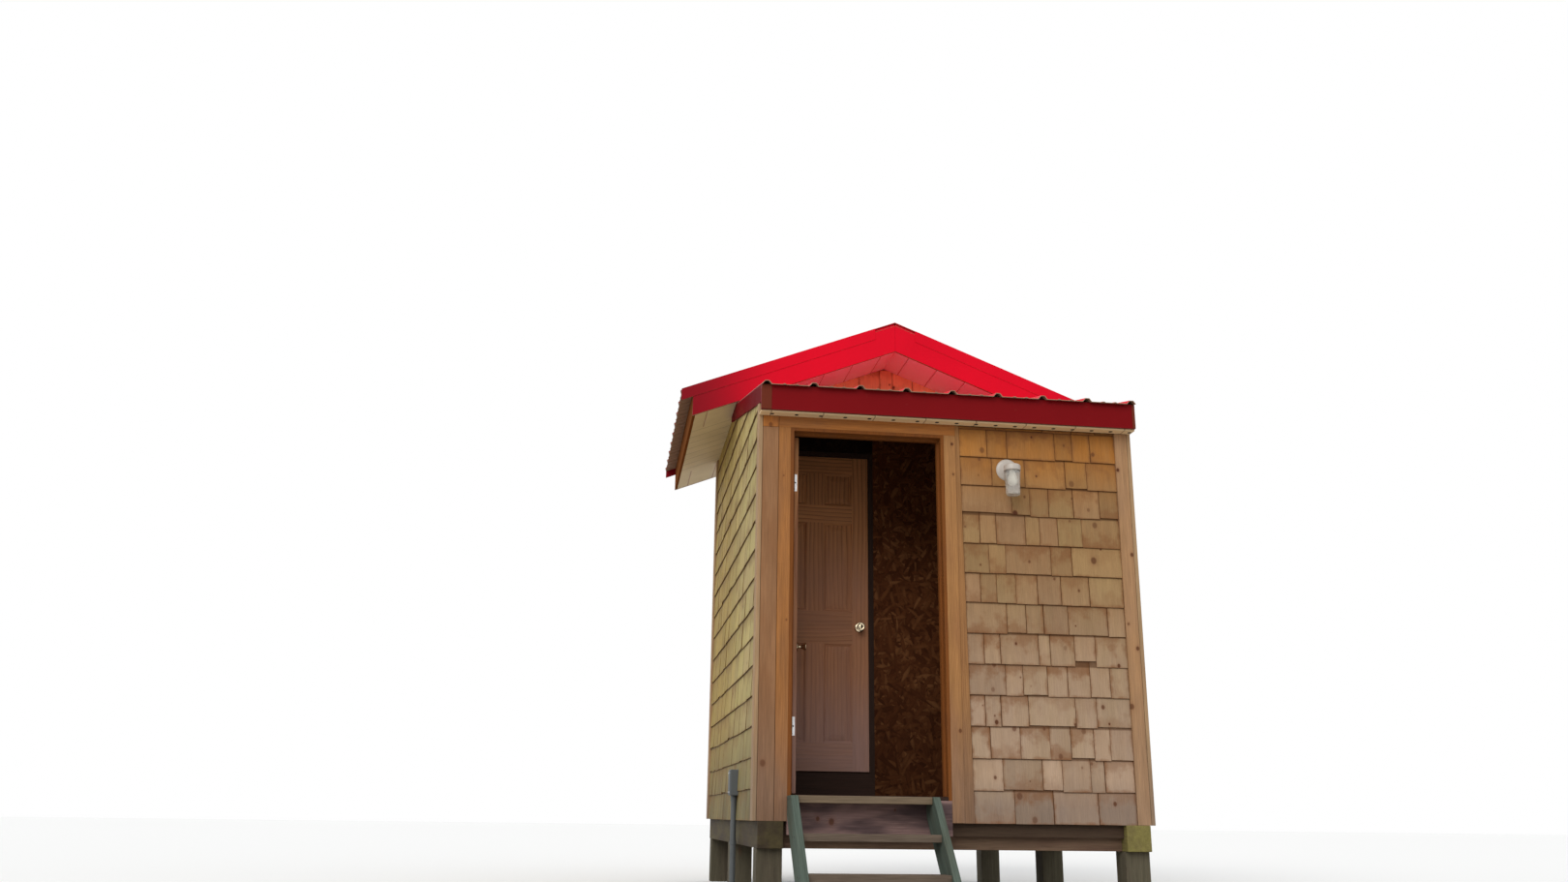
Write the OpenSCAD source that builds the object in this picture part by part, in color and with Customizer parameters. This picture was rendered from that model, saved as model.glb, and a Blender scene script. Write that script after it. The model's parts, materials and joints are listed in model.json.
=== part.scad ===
// Wooden outhouse: a shingled hut with a gable roof behind, a lean-to roof in front,
// panelled doors one behind the other, and open wooden steps. Millimetres, +Z up.
// X runs across the front, Y runs from the front to the back, Z = 0 is the ground.

/* [Body] */
// Width over the corner boards
body_w = 2260; // [2200:2:2900]
// Depth over the corner boards
body_d = 3030; // [2900:10:3600]
// Thickness of a framed wall with its sheathing
wall_t = 100; // [90:1:120]
// Thickness of corner boards and casings
trim_t = 22; // [18:1:26]
// Width of a corner board
corner_w = 100; // [70:1:120]
// Distance from the front to the gable wall
gable_from_front = 1760; // [1600:10:1950]

/* [Base] */
// Height of the floor above the ground
floor_h = 557; // [500:1:700]
// How far the wall covering hangs below the floor
skirt_h = 117; // [110:1:140]
// Thickness of the floor boards
floor_t = 33; // [25:1:38]
// Side of the square skid timbers
skid_s = 140; // [120:1:160]
// How far the skids sit in from the sides
skid_inset = 30; // [0:1:80]
// Side of the square posts
post_s = 140; // [100:1:160]
// Posts under each skid
post_count = 3; // [2:1:4]
// Distance of the end posts from the skid ends
post_inset = 40; // [0:5:200]
// Thickness of the floor joists
joist_t = 38; // [36:1:50]
// Floor joists
joist_count = 8; // [6:1:10]
// Height of the upper cross board
cross_upper_h = 70; // [50:1:75]
// Height of the lower cross board
cross_lower_h = 75; // [50:1:80]

/* [Front door] */
// Door width
door_w = 864; // [800:1:870]
// Door height
door_h = 2032; // [2000:1:2050]
// Door thickness
door_t = 35; // [35:1:44]
// Distance of the doorway's middle from the left side of the body
door_from_left = 644; // [600:1:700]
// Angle at which the front door stands open
door_open = 81.5; // [60:0.5:85]
// Gap between a door and its frame
door_gap = 5; // [5:0.5:8]
// Gap under a door
door_floor_gap = 8; // [6:0.5:15]
// Threshold height
threshold_h = 22; // [20:1:40]
// Thickness of a jamb
jamb_t = 19; // [16:1:25]
// Thickness of a door stop
stop_t = 12; // [10:1:15]
// Width of the casings beside the doorway
casing_w = 70; // [60:1:90]
// Height of the casing over the doorway
casing_head_h = 72; // [60:1:90]
// Clearance between the head casing and the front soffit
head_clear = 3; // [0:1:80]

/* [Inner door] */
// Inner door width
inner_door_w = 711; // [610:1:762]
// Depth of the front room from the front of the body to the partition
partition_from_front = 1004; // [1000:1:1100]
// Thickness of the partition and of its door frame
partition_t = 62; // [60:1:90]
// Height of the step up to the rear floor
rear_step_h = 172; // [150:1:200]
// Thickness of the rear floor boards
rear_floor_t = 30; // [20:1:38]

/* [Door panels] */
// Width of the outer stiles
stile_w = 112; // [90:1:125]
// Width of the middle stile
mullion_w = 114; // [90:1:125]
// Height of the top rail
top_rail_h = 117; // [90:1:130]
// Height of the small top panels
top_panel_h = 216; // [150:1:230]
// Height of the rail under the top panels
frieze_rail_h = 117; // [90:1:130]
// Height of the tall middle panels
mid_panel_h = 581; // [500:1:600]
// Height of the lock rail
lock_rail_h = 210; // [180:1:220]
// Height of the bottom rail
bottom_rail_h = 173; // [150:1:240]
// Width of the moulding around a panel
mould_w = 24; // [15:1:30]
// Depth of the moulding around a panel
mould_d = 8; // [4:0.5:10]

/* [Door hardware] */
// Height of a hinge leaf
hinge_h = 102; // [76:1:127]
// Width of a hinge leaf
hinge_leaf_w = 28; // [25:1:30]
// Thickness of a hinge leaf
hinge_leaf_t = 2.5; // [2:0.5:3]
// Outer radius of a hinge knuckle
knuckle_r = 6; // [5:0.5:7]
// Radius of a hinge pin
pin_r = 3; // [2.5:0.5:3.5]
// Radial clearance of a hinge pin
pin_clear = 0.3; // [0.2:0.05:0.5]
// Gap between two knuckles
knuckle_gap = 0.5; // [0.3:0.1:1]
// Height of the lower hinge's middle above the door's bottom
hinge_low = 360; // [200:5:450]
// Distance of the upper hinge's middle below the door's top
hinge_high = 275; // [150:5:400]
// Height of a knob's middle above the door's bottom
knob_h = 900; // [850:5:1000]
// Distance of a knob's middle from the door's free edge
knob_set = 66; // [60:1:75]
// Radius of a knob at its wide front
knob_r = 27; // [20:1:28]
// Radius of a knob's neck
knob_neck_r = 11; // [9:0.5:13]
// Distance of a knob's end from the door's face
knob_reach = 58; // [50:1:60]
// Radius of a knob's rose
rose_r = 32; // [26:1:34]
// Thickness of a knob's rose
rose_t = 8; // [5:1:12]

/* [Lean-to roof] */
// Rise of the lean-to roof for each unit of run
shed_slope = 0.238; // [0.2:0.002:0.25]
// Height of the front fascia
shed_fascia_h = 150; // [130:1:190]
// Overhang of the front fascia beyond the corner boards
shed_over = 93; // [60:1:130]
// Height of the side trims
shed_band_h = 108; // [80:1:130]
// How far the roofing runs past the front fascia
shed_drip = 27; // [15:1:40]

/* [Gable roof] */
// Rise of the gable roof for each unit of run
main_slope = 0.39; // [0.36:0.005:0.42]
// Rise of the gable wall over the top of the lean-to roof, at the ridge
gable_rise = 375; // [340:1:500]
// Thickness of the roof deck
deck_t = 171; // [150:1:185]
// Thickness of the roof boarding
board_t = 16; // [12:1:22]
// Thickness of a rafter
rafter_t = 38; // [36:1:50]
// Wanted distance between rafters
rafter_pitch = 600; // [400:10:700]
// Overhang of the eaves beyond the corner boards
eave_over = 307; // [250:1:340]
// Overhang of the roof in front of the gable wall
front_over = 395; // [380:5:420]
// Overhang of the roof behind the body
rear_over = 490; // [300:5:550]
// Thickness of fascia boards
fascia_t = 20; // [18:1:26]
// Thickness of the soffit sheets
soffit_t = 9; // [6:1:14]
// How far the roofing runs past the eave fascia
eave_drip = 80; // [50:1:90]

/* [Roofing] */
// Thickness of the roofing sheet
sheet_t = 3; // [2:0.5:4]
// Height of a rib
rib_h = 19; // [15:1:24]
// Width of a rib at its foot
rib_foot_w = 58; // [50:1:65]
// Width of a rib at its crest
rib_crest_w = 24; // [20:1:28]
// Wanted distance between ribs
rib_pitch = 277; // [225:1:305]
// Height of the gable trim's face
trim_face_h = 78; // [60:1:95]
// Width of the gable trim's top
trim_top_w = 108; // [90:1:130]
// Width of one wing of the ridge cap
cap_w = 156; // [120:1:180]

/* [Wall light] */
// Distance of the light from the body's middle
light_shift = 357; // [340:1:420]
// Distance of the light's middle below the front soffit
light_drop = 269; // [200:1:400]
// Radius of the white cap over the jar
cap_r = 49; // [42:1:54]
// Height of the white cap
cap_h = 41; // [30:1:50]
// Radius of the light's base plate
light_base_r = 68; // [55:1:75]
// Thickness of the light's base plate
light_base_t = 20; // [15:1:28]
// Distance of the jar's axis from the wall
light_reach = 103; // [95:1:115]
// Radius of the glass jar
jar_r = 47; // [40:1:52]
// Radius of the jar's neck
jar_neck_r = 41; // [36:1:44]
// Height of the glass jar
jar_h = 145; // [100:1:170]
// How much narrower the jar is at its foot
jar_taper = 6; // [0:1:10]
// Thickness of the jar's glass and of the cap's wall
glass_t = 3; // [2:0.5:4]

/* [Service box] */
// Distance of the service box from the front
box_from_front = 930; // [850:5:1100]
// Height of the service box's bottom above the floor
box_above_floor = 25; // [0:1:60]
// Width of the service box
box_w = 103; // [90:1:120]
// Height of the service box
box_h = 152; // [140:1:180]
// Depth of the service box
box_depth = 57; // [50:1:70]
// Outer radius of the conduit
conduit_r = 17; // [13:0.5:21]

/* [Steps] */
// Width over the stringers
steps_w = 805; // [760:1:860]
// Shift of the steps from the doorway's middle, to the left
steps_shift = 54; // [0:1:70]
// How far the top tread stands over the floor
steps_lift = 16; // [8:1:20]
// Number of treads
tread_count = 3; // [2:1:4]
// How far a stringer's edge stands over the treads' front edges
stringer_lap = 15; // [0:1:30]
// Horizontal distance between treads
tread_run = 181; // [160:1:230]
// Depth of a tread
tread_d = 140; // [130:1:150]
// Thickness of treads and stringers
plank_t = 38; // [36:1:45]
// Depth of a stringer, square to its slope
stringer_w = 184; // [140:1:200]

/* [Hidden] */
$fn = 48;
eps = 1;
seat_gap = 0.3;
half_gap = 0.5;

// Plan: the middle of the overall depth is at Y = 0, to the nearest millimetre
z_steps = floor_h + steps_lift;
tread_rise = z_steps / tread_count;
stair_slope = tread_rise / tread_run;
stair_reach = tread_d + (z_steps + stringer_lap) / stair_slope;
roof_back = body_d + rear_over;
y_front = round((stair_reach - roof_back - sheet_t) / 2);
y_back = y_front + body_d;
y_gable = y_front + gable_from_front;
y_rake = y_gable - front_over;
y_roof_back = y_front + roof_back;
y_face = y_front + trim_t;
y_in = y_face + wall_t;
y_part = y_front + partition_from_front;
x_out = body_w / 2;
x_face = x_out - trim_t;
x_in = x_face - wall_t;
x_base = x_face - trim_t;
y_base = y_face + trim_t;

// Levels
z_skirt = floor_h - skirt_h;
z_skid = z_skirt - skid_s;
z_rear_floor = floor_h + rear_step_h;

// Doorways
opening_w = door_w + 2 * door_gap;
x_door = door_from_left - x_out;
z_door = floor_h + threshold_h + door_floor_gap;
z_door_head = z_door + door_h + door_gap;
z_front_top = z_door_head + jamb_t + casing_head_h + head_clear;
inner_opening_w = inner_door_w + 2 * door_gap;
x_inner = -x_in + jamb_t + inner_opening_w / 2;
z_inner = z_rear_floor + door_floor_gap;
z_inner_head = z_inner + door_h + door_gap;
pin_back = knuckle_r + 1;
left_corner_w = door_from_left - opening_w / 2 - jamb_t - casing_w;
low_panel_h = door_h - top_rail_h - top_panel_h - frieze_rail_h - mid_panel_h - lock_rail_h
  - bottom_rail_h;

// Lean-to roof planes
shed_angle = atan(shed_slope);
board_v = board_t / cos(shed_angle);
y_shed_front = y_front - shed_over;
z_shed_front = z_front_top + shed_fascia_h;

// Middle of the wall light's base plate, and the foot of the cap that the jar hangs in
z_light = z_front_top - light_drop;
z_cap = z_light - cap_h * 0.7;

// Gable roof planes, as heights over the middle of the body
main_angle = atan(main_slope);
deck_v = deck_t / cos(main_angle);
main_board_v = board_t / cos(main_angle);
soffit_v = soffit_t / cos(main_angle);
sheet_v = sheet_t / cos(main_angle);
rib_v = seat_gap + (rib_h + sheet_t) / cos(main_angle);
cap_v = rib_v + seat_gap;
z_ridge_under = shed_top(y_gable) + gable_rise;
z_ridge_top = z_ridge_under + deck_v;
x_fascia = x_out + eave_over;
x_deck = x_fascia - fascia_t;
x_drip = x_fascia + eave_drip;
cap_run = cap_w * cos(main_angle);

function main_under(x) = z_ridge_under - main_slope * abs(x);
function main_top(x) = z_ridge_top - main_slope * abs(x);
function main_seat(x) = main_under(x) - seat_gap;
function soffit_seat(x) = main_under(x) - soffit_v - seat_gap;
function shed_top(y) = z_shed_front + shed_slope * (y - y_shed_front);
function shed_bottom(y) = z_front_top + shed_slope * (y - y_face);
function shed_seat(y) = shed_bottom(y) - seat_gap;
function band_seat(y) = shed_top(y) - shed_band_h - seat_gap;

// A block between two corners
module block(low, high) {
  translate(low) cube(high - low);
}

// An outline in X and Z, as thick as y0 to y1
module xz(y0, y1) {
  translate([0, y1, 0]) rotate([90, 0, 0]) linear_extrude(height = y1 - y0) children();
}

// An outline in Y and Z, as thick as x0 to x1
module yz(x0, x1) {
  translate([x0, 0, 0]) rotate([90, 0, 90]) linear_extrude(height = x1 - x0) children();
}

// A copy on the left and one on the right
module both_sides() {
  children();
  mirror([1, 0, 0]) children();
}

// The strip of the gable roof's right slope from lift0 to lift1 over the deck
module slope_strip(x0, x1, lift0, lift1) {
  polygon([
    [x0, main_top(x0) + lift0], [x1, main_top(x1) + lift0],
    [x1, main_top(x1) + lift1], [x0, main_top(x0) + lift1]
  ]);
}

// Everything over the underside of the gable roof's front overhang
module under_main_overhang() {
  xz(y_rake, y_gable + eps)
    polygon([
      [-x_drip, soffit_seat(x_drip)], [0, soffit_seat(0)],
      [x_drip, soffit_seat(x_drip)], [x_drip, z_ridge_top + body_w],
      [-x_drip, z_ridge_top + body_w]
    ]);
}

// Ribs and pans of one roofing sheet: its width runs along X, its underside is at Z = 0
module ribbed_profile(width) {
  bays = round(width / rib_pitch);
  step = (width - rib_foot_w) / bays;
  over = [
    for (i = [0:bays])
      for (p = [[0, 0], [(rib_foot_w - rib_crest_w) / 2, rib_h],
                [(rib_foot_w + rib_crest_w) / 2, rib_h], [rib_foot_w, 0]])
        [i * step + p[0], p[1] + sheet_t]
  ];
  under = [
    for (i = [bays:-1:0])
      for (p = [[rib_foot_w - sheet_t, 0], [(rib_foot_w + rib_crest_w) / 2 - sheet_t / 2, rib_h],
                [(rib_foot_w - rib_crest_w) / 2 + sheet_t / 2, rib_h], [sheet_t, 0]])
        [i * step + p[0], p[1]]
  ];
  polygon(concat(over, under));
}

module posts() {
  first = y_front + post_inset + post_s / 2;
  last = y_back - post_inset - post_s / 2;
  color("darkolivegreen")
    both_sides()
      for (i = [0:post_count - 1])
        translate([x_out - skid_inset - skid_s / 2, first + (last - first) * i / (post_count - 1), 0])
          translate([-post_s / 2, -post_s / 2, 0])
            cube([post_s, post_s, z_skid]);
}

module skids() {
  color("olivedrab")
    both_sides()
      block([x_out - skid_inset - skid_s, y_front, z_skid], [x_out - skid_inset, y_back, z_skirt]);
}

module cross_boards() {
  x1 = x_out - skid_inset - skid_s;
  lower_y = y_base + plank_t;
  color("saddlebrown") {
    block([-x1, y_base, z_skirt - cross_upper_h], [x1, lower_y - 2 * half_gap, z_skirt]);
    block([-x1, lower_y, z_skid], [x1, lower_y + plank_t, z_skid + cross_lower_h]);
  }
}

module floor_joists() {
  step = (y_back - y_front - 4 * trim_t - joist_t) / (joist_count - 1);
  color("peru")
    for (i = [0:joist_count - 1])
      translate([-x_base, y_base + i * step, z_skirt])
        cube([2 * x_base, joist_t, skirt_h - floor_t]);
}

module floor() {
  color("tan")
    block([-x_base, y_base, floor_h - floor_t], [x_base, y_back - 2 * trim_t, floor_h]);
}

// The board under the doorway that the stringers butt against
module door_apron() {
  half = opening_w / 2 + jamb_t;
  color("rosybrown")
    block([x_door - half, y_front, z_skirt - cross_upper_h], [x_door + half, y_base, floor_h]);
}

// Its front edge is level with the top tread
module threshold() {
  color("sienna")
    yz(x_door - opening_w / 2, x_door + opening_w / 2)
      polygon([
        [y_front, floor_h], [y_in, floor_h], [y_in, floor_h + threshold_h],
        [y_face, floor_h + threshold_h], [y_front, z_steps]
      ]);
}

// The front wall's section, from its foot to the slope of the lean-to roof
module front_section(foot) {
  polygon([
    [y_face, foot], [y_in, foot],
    [y_in, shed_seat(y_in)], [y_face, shed_seat(y_face)]
  ]);
}

// A stretch of front wall with the covering that hangs down over the floor frame
module front_wall(x0, x1) {
  yz(x0, x1) front_section(floor_h);
  block([x0, y_face, z_skirt], [x1, y_base, floor_h + eps]);
}

module front_wall_left() {
  color("burlywood") front_wall(-x_in, x_door - opening_w / 2 - jamb_t);
}

module front_wall_right() {
  color("burlywood") front_wall(x_door + opening_w / 2 + jamb_t, x_in);
}

module front_wall_header() {
  color("burlywood")
    yz(x_door - opening_w / 2 - jamb_t, x_door + opening_w / 2 + jamb_t)
      front_section(z_door_head + jamb_t);
}

// A side wall: low under the lean-to roof, high under the gable roof
module side_wall() {
  color("goldenrod") {
    yz(x_in, x_face)
      polygon([
        [y_face, floor_h], [y_gable + eps, floor_h], [y_gable + eps, shed_seat(y_gable)],
        [y_gable, shed_seat(y_gable)], [y_face, shed_seat(y_face)]
      ]);
    xz(y_gable, y_back - trim_t)
      polygon([
        [x_in, floor_h], [x_face, floor_h],
        [x_face, main_seat(x_face)], [x_in, main_seat(x_in)]
      ]);
    block([x_base, y_face, z_skirt], [x_face, y_back - trim_t, floor_h + eps]);
  }
}

module left_wall() {
  mirror([1, 0, 0]) side_wall();
}

module right_wall() {
  side_wall();
}

module back_wall() {
  y1 = y_back - trim_t;
  color("goldenrod") {
    xz(y1 - wall_t, y1)
      polygon([
        [-x_in, floor_h], [x_in, floor_h], [x_in, main_seat(x_in)],
        [0, main_seat(0)], [-x_in, main_seat(x_in)]
      ]);
    block([-x_base, y1 - trim_t, z_skirt], [x_base, y1, floor_h]);
    block([-x_in, y1 - trim_t, floor_h - eps], [x_in, y1, floor_h + eps]);
  }
}

module gable_wall() {
  foot = shed_bottom(y_gable) - wall_t;
  color("burlywood")
    xz(y_gable, y_gable + wall_t)
      polygon([
        [-x_in, foot], [x_in, foot], [x_in, main_seat(x_in)],
        [0, main_seat(0)], [-x_in, main_seat(x_in)]
      ]);
}

// A stretch of partition from its foot to the slope of the lean-to roof
module partition_wall(x0, x1, foot) {
  y1 = y_part + partition_t;
  color("peru")
    yz(x0, x1)
      polygon([[y_part, foot], [y1, foot], [y1, shed_seat(y1)], [y_part, shed_seat(y_part)]]);
}

module partition() {
  partition_wall(x_inner + inner_opening_w / 2 + jamb_t, x_in, floor_h);
}

module partition_header() {
  partition_wall(-x_in, x_inner + inner_opening_w / 2 + jamb_t, z_inner_head + jamb_t);
}

module partition_sill() {
  x1 = x_inner + inner_opening_w / 2 + jamb_t;
  color("saddlebrown")
    block([-x_in, y_part, floor_h], [x1, y_part + partition_t, z_rear_floor]);
}

module rear_floor() {
  y0 = y_part + partition_t;
  y1 = y_back - trim_t - wall_t;
  color("tan") {
    block([-x_in, y0, z_rear_floor - rear_floor_t], [x_in, y1, z_rear_floor]);
    both_sides()
      block([x_in - joist_t, y0, floor_h], [x_in, y1, z_rear_floor - rear_floor_t + eps]);
  }
}

// A frame of two jambs and a head around an opening, with its stops in front of the door
module door_frame(x, width, y0, y1, foot, stop_foot, head) {
  stop_back = y1 - door_t - door_gap;
  xz(y0, y1)
    difference() {
      translate([x - width / 2 - jamb_t, foot]) square([width + 2 * jamb_t, head - foot + jamb_t]);
      translate([x - width / 2, foot - eps]) square([width, head - foot + eps]);
    }
  xz(max(y0, stop_back - door_t), stop_back)
    difference() {
      translate([x - width / 2 - eps, stop_foot])
        square([width + 2 * eps, head - stop_foot + eps]);
      translate([x - width / 2 + stop_t, stop_foot - eps])
        square([width - 2 * stop_t, head - stop_foot + eps - stop_t]);
    }
}

// Flush seats for the frame leaves of a door's hinges
module frame_leaf_seats(x, y1, z) {
  for (h = [hinge_low, door_h - hinge_high])
    block([x - hinge_leaf_t, y1 - hinge_leaf_w, z + h - hinge_h / 2],
          [x + eps, y1 + eps, z + h + hinge_h / 2]);
}

module outer_frame() {
  x = x_door - opening_w / 2;
  color("sandybrown")
    difference() {
      door_frame(x_door, opening_w, y_front, y_in, floor_h, floor_h + threshold_h, z_door_head);
      frame_leaf_seats(x, y_in, z_door);
    }
}

module inner_frame() {
  x = x_inner - inner_opening_w / 2;
  y1 = y_part + partition_t;
  color("sandybrown")
    difference() {
      door_frame(x_inner, inner_opening_w, y_part, y1, z_rear_floor, z_rear_floor, z_inner_head);
      frame_leaf_seats(x, y1, z_inner);
    }
}

module casing_sides() {
  half = opening_w / 2 + jamb_t;
  color("chocolate")
    for (s = [-1, 1])
      block([x_door + s * half - (s < 0 ? casing_w : 0), y_front, z_skirt],
            [x_door + s * half + (s > 0 ? casing_w : 0), y_face, z_door_head + jamb_t]);
}

module casing_head() {
  half = opening_w / 2 + jamb_t + casing_w;
  color("chocolate")
    block([x_door - half, y_front, z_door_head + jamb_t],
          [x_door + half, y_face, z_door_head + jamb_t + casing_head_h]);
}

// The right front corner with its front board as wide as width. Its side board runs up to the
// lean-to roof's side trim
module front_corner(width) {
  y1 = y_front + corner_w;
  block([x_out - width, y_front, z_skirt], [x_out, y_face, z_front_top]);
  yz(x_face, x_out)
    polygon([[y_front, z_skirt], [y1, z_skirt], [y1, band_seat(y1)], [y_front, band_seat(y_front)]]);
}

// One board of the right back corner, up to the slope of the soffits
module back_corner_board(x0, y0) {
  xz(y0, y_back)
    polygon([[x0, z_skirt], [x_out, z_skirt], [x_out, soffit_seat(x_out)], [x0, soffit_seat(x0)]]);
}

// The left front board reaches the doorway's casing
module corner_boards() {
  color("chocolate") {
    front_corner(corner_w);
    mirror([1, 0, 0]) front_corner(left_corner_w);
    both_sides() {
      back_corner_board(x_out - corner_w, y_back - trim_t);
      back_corner_board(x_face, y_back - corner_w);
    }
  }
}

// The raised field of a door panel, standing on the panel's middle at Z = 0
module raised_field(width, height) {
  foot = [width / 2 - mould_w / 4, height / 2 - mould_w / 4, 0];
  crest = [width / 2 - mould_w, height / 2 - mould_w, mould_d];
  polyhedron(
    points = [
      for (level = [foot, crest])
        for (side = [[-1, -1], [1, -1], [1, 1], [-1, 1]])
          [side[0] * level[0], side[1] * level[1], level[2]]
    ],
    faces = [[0, 1, 2, 3], [7, 6, 5, 4], [0, 4, 5, 1], [1, 5, 6, 2], [2, 6, 7, 3], [3, 7, 4, 0]]
  );
}

// A six-panel door, closed, with its hinge edge at X = 0 and its inner face at Y = 0
module panel_door(width) {
  panel_w = (width - 2 * stile_w - mullion_w) / 2;
  rows = [
    [bottom_rail_h, low_panel_h],
    [bottom_rail_h + low_panel_h + lock_rail_h, mid_panel_h],
    [door_h - top_rail_h - top_panel_h, top_panel_h]
  ];
  difference() {
    translate([0, -door_t, 0]) cube([width, door_t, door_h]);
    for (x = [stile_w, stile_w + panel_w + mullion_w])
      for (row = rows)
        for (y = [-door_t - eps, -mould_d])
          translate([x, y, row[0]]) cube([panel_w, mould_d + eps, row[1]]);
    for (h = [hinge_low, door_h - hinge_high])
      translate([-eps, -hinge_leaf_w, h - hinge_h / 2])
        cube([hinge_leaf_t + eps, hinge_leaf_w + eps, hinge_h]);
  }
  for (x = [stile_w, stile_w + panel_w + mullion_w])
    for (row = rows)
      translate([x + panel_w / 2, 0, row[0] + row[1] / 2]) {
        translate([0, -mould_d, 0]) rotate([-90, 0, 0]) raised_field(panel_w, row[1]);
        translate([0, mould_d - door_t, 0]) rotate([90, 0, 0]) raised_field(panel_w, row[1]);
      }
}

// A knob on its rose, from its axis outwards: the neck flares to a wide rim with a hollow front
module knob_profile() {
  steps = 6;
  rim = knob_r / 8;
  flare_h = knob_reach - rim - 2 * rose_t;
  flare = [
    for (i = [0:steps])
      [knob_neck_r + (knob_r - knob_neck_r) * pow(i / steps, 2), 2 * rose_t + flare_h * i / steps]
  ];
  polygon(concat(
    [[0, 0], [rose_r, 0], [rose_r, rose_t / 2], [rose_r - rose_t / 2, rose_t], [knob_neck_r, rose_t]],
    flare,
    [[knob_r - rim, knob_reach], [knob_r - 2 * rim, knob_reach], [0, knob_reach - rim]]
  ));
}

// A pair of knobs, for a door as panel_door makes it
module knob_pair(width) {
  translate([width - knob_set, 0, knob_h])
    for (side = [0, 1])
      translate([0, side ? -door_t : 0, 0])
        mirror([0, side, 0])
          rotate([-90, 0, 0])
            rotate_extrude() knob_profile();
}

// Knuckles: a hinge has five, and which = 0 gives the frame's three, which = 1 the door's two
module knuckles(which) {
  step = hinge_h / 5;
  for (i = [which:2:4])
    translate([0, 0, i * step + knuckle_gap / 2])
      difference() {
        cylinder(r = knuckle_r, h = step - knuckle_gap);
        if (which == 1)
          translate([0, 0, -eps]) cylinder(r = pin_r + pin_clear, h = step + 2 * eps);
      }
}

// The tabs that join a leaf to its knuckles, on the side of the pin given by side
module leaf_tabs(which, side) {
  step = hinge_h / 5;
  inner = door_gap / 2;
  for (i = [which:2:4])
    difference() {
      translate([side > 0 ? inner : -inner - hinge_leaf_t, -pin_back, i * step + knuckle_gap / 2])
        cube([hinge_leaf_t, pin_back, step - knuckle_gap]);
      cylinder(r = pin_r + pin_clear, h = hinge_h);
    }
}

// The door's leaf of one hinge, with the pin's axis at the origin
module door_leaf() {
  inner = door_gap / 2;
  knuckles(1);
  leaf_tabs(1, 1);
  translate([inner, -pin_back - hinge_leaf_w, 0]) cube([hinge_leaf_t, hinge_leaf_w, hinge_h]);
}

// The frame's leaf of one hinge with the pin, the pin's axis at the origin
module frame_leaf() {
  inner = door_gap / 2;
  knuckles(0);
  cylinder(r = pin_r, h = hinge_h);
  leaf_tabs(0, -1);
  translate([-inner - hinge_leaf_t, -pin_back - hinge_leaf_w, 0])
    cube([hinge_leaf_t, hinge_leaf_w, hinge_h]);
}

// The two heights of a door's hinges
module hinge_pair() {
  for (h = [hinge_low, door_h - hinge_high])
    translate([0, 0, h - hinge_h / 2]) children();
}

// Places a door that is drawn closed about its pin
module at_outer_pin() {
  translate([x_door - opening_w / 2 + door_gap / 2, y_in + pin_back, z_door]) children();
}

module at_inner_pin() {
  translate([x_inner - inner_opening_w / 2 + door_gap / 2, y_part + partition_t + pin_back, z_inner])
    children();
}

// Moves a door as panel_door makes it to its pin
module hang() {
  translate([door_gap / 2, -pin_back, 0]) children();
}

module outer_door() {
  color("navajowhite") at_outer_pin() rotate([0, 0, door_open]) hang() panel_door(door_w);
}

module outer_door_knobs() {
  color("gold") at_outer_pin() rotate([0, 0, door_open]) hang() knob_pair(door_w);
}

module outer_door_hinges() {
  color("silver") at_outer_pin() rotate([0, 0, door_open]) hinge_pair() door_leaf();
}

module inner_door() {
  color("navajowhite") at_inner_pin() hang() panel_door(inner_door_w);
}

module inner_door_knobs() {
  color("gold") at_inner_pin() hang() knob_pair(inner_door_w);
}

module inner_door_hinges() {
  color("silver") at_inner_pin() hinge_pair() door_leaf();
}

module frame_hinges() {
  color("silver") {
    at_outer_pin() hinge_pair() frame_leaf();
    at_inner_pin() hinge_pair() frame_leaf();
  }
}

module shed_deck() {
  y0 = y_shed_front + fascia_t;
  bays = ceil((2 * x_face - rafter_t) / rafter_pitch);
  step = (2 * x_face - rafter_t) / bays;
  color("peru")
    difference() {
      union() {
        yz(-x_face, x_face)
          polygon([
            [y0, shed_top(y0) - board_v], [y_gable, shed_top(y_gable) - board_v],
            [y_gable, shed_top(y_gable)], [y0, shed_top(y0)]
          ]);
        for (i = [0:bays])
          yz(-x_face + i * step, -x_face + i * step + rafter_t)
            polygon([
              [y0, z_front_top], [y_face, shed_bottom(y_face)], [y_gable, shed_bottom(y_gable)],
              [y_gable, shed_top(y_gable)], [y0, shed_top(y0)]
            ]);
      }
      under_main_overhang();
    }
}

module shed_roofing() {
  length = (y_gable - y_shed_front + shed_drip) / cos(shed_angle);
  color("firebrick")
    difference() {
      translate([-x_out, y_shed_front - shed_drip, shed_top(y_shed_front - shed_drip) + seat_gap])
        rotate([90 + shed_angle, 0, 0])
          mirror([0, 0, 1])
            linear_extrude(height = length) ribbed_profile(2 * x_out);
      under_main_overhang();
      translate([-x_drip, y_gable, 0]) cube([2 * x_drip, body_d, z_ridge_top]);
    }
}

module shed_fascia() {
  color("darkred")
    yz(-x_out, x_out)
      polygon([
        [y_shed_front, z_front_top], [y_shed_front + fascia_t, z_front_top],
        [y_shed_front + fascia_t, shed_top(y_shed_front + fascia_t)],
        [y_shed_front, shed_top(y_shed_front)]
      ]);
}

module shed_side_trims() {
  y0 = y_shed_front + fascia_t;
  color("rosybrown")
    both_sides()
      difference() {
        yz(x_face, x_out)
          polygon([
            [y0, shed_top(y0) - shed_band_h], [y_gable, shed_top(y_gable) - shed_band_h],
            [y_gable, shed_top(y_gable)], [y0, shed_top(y0)]
          ]);
        under_main_overhang();
      }
}

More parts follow.
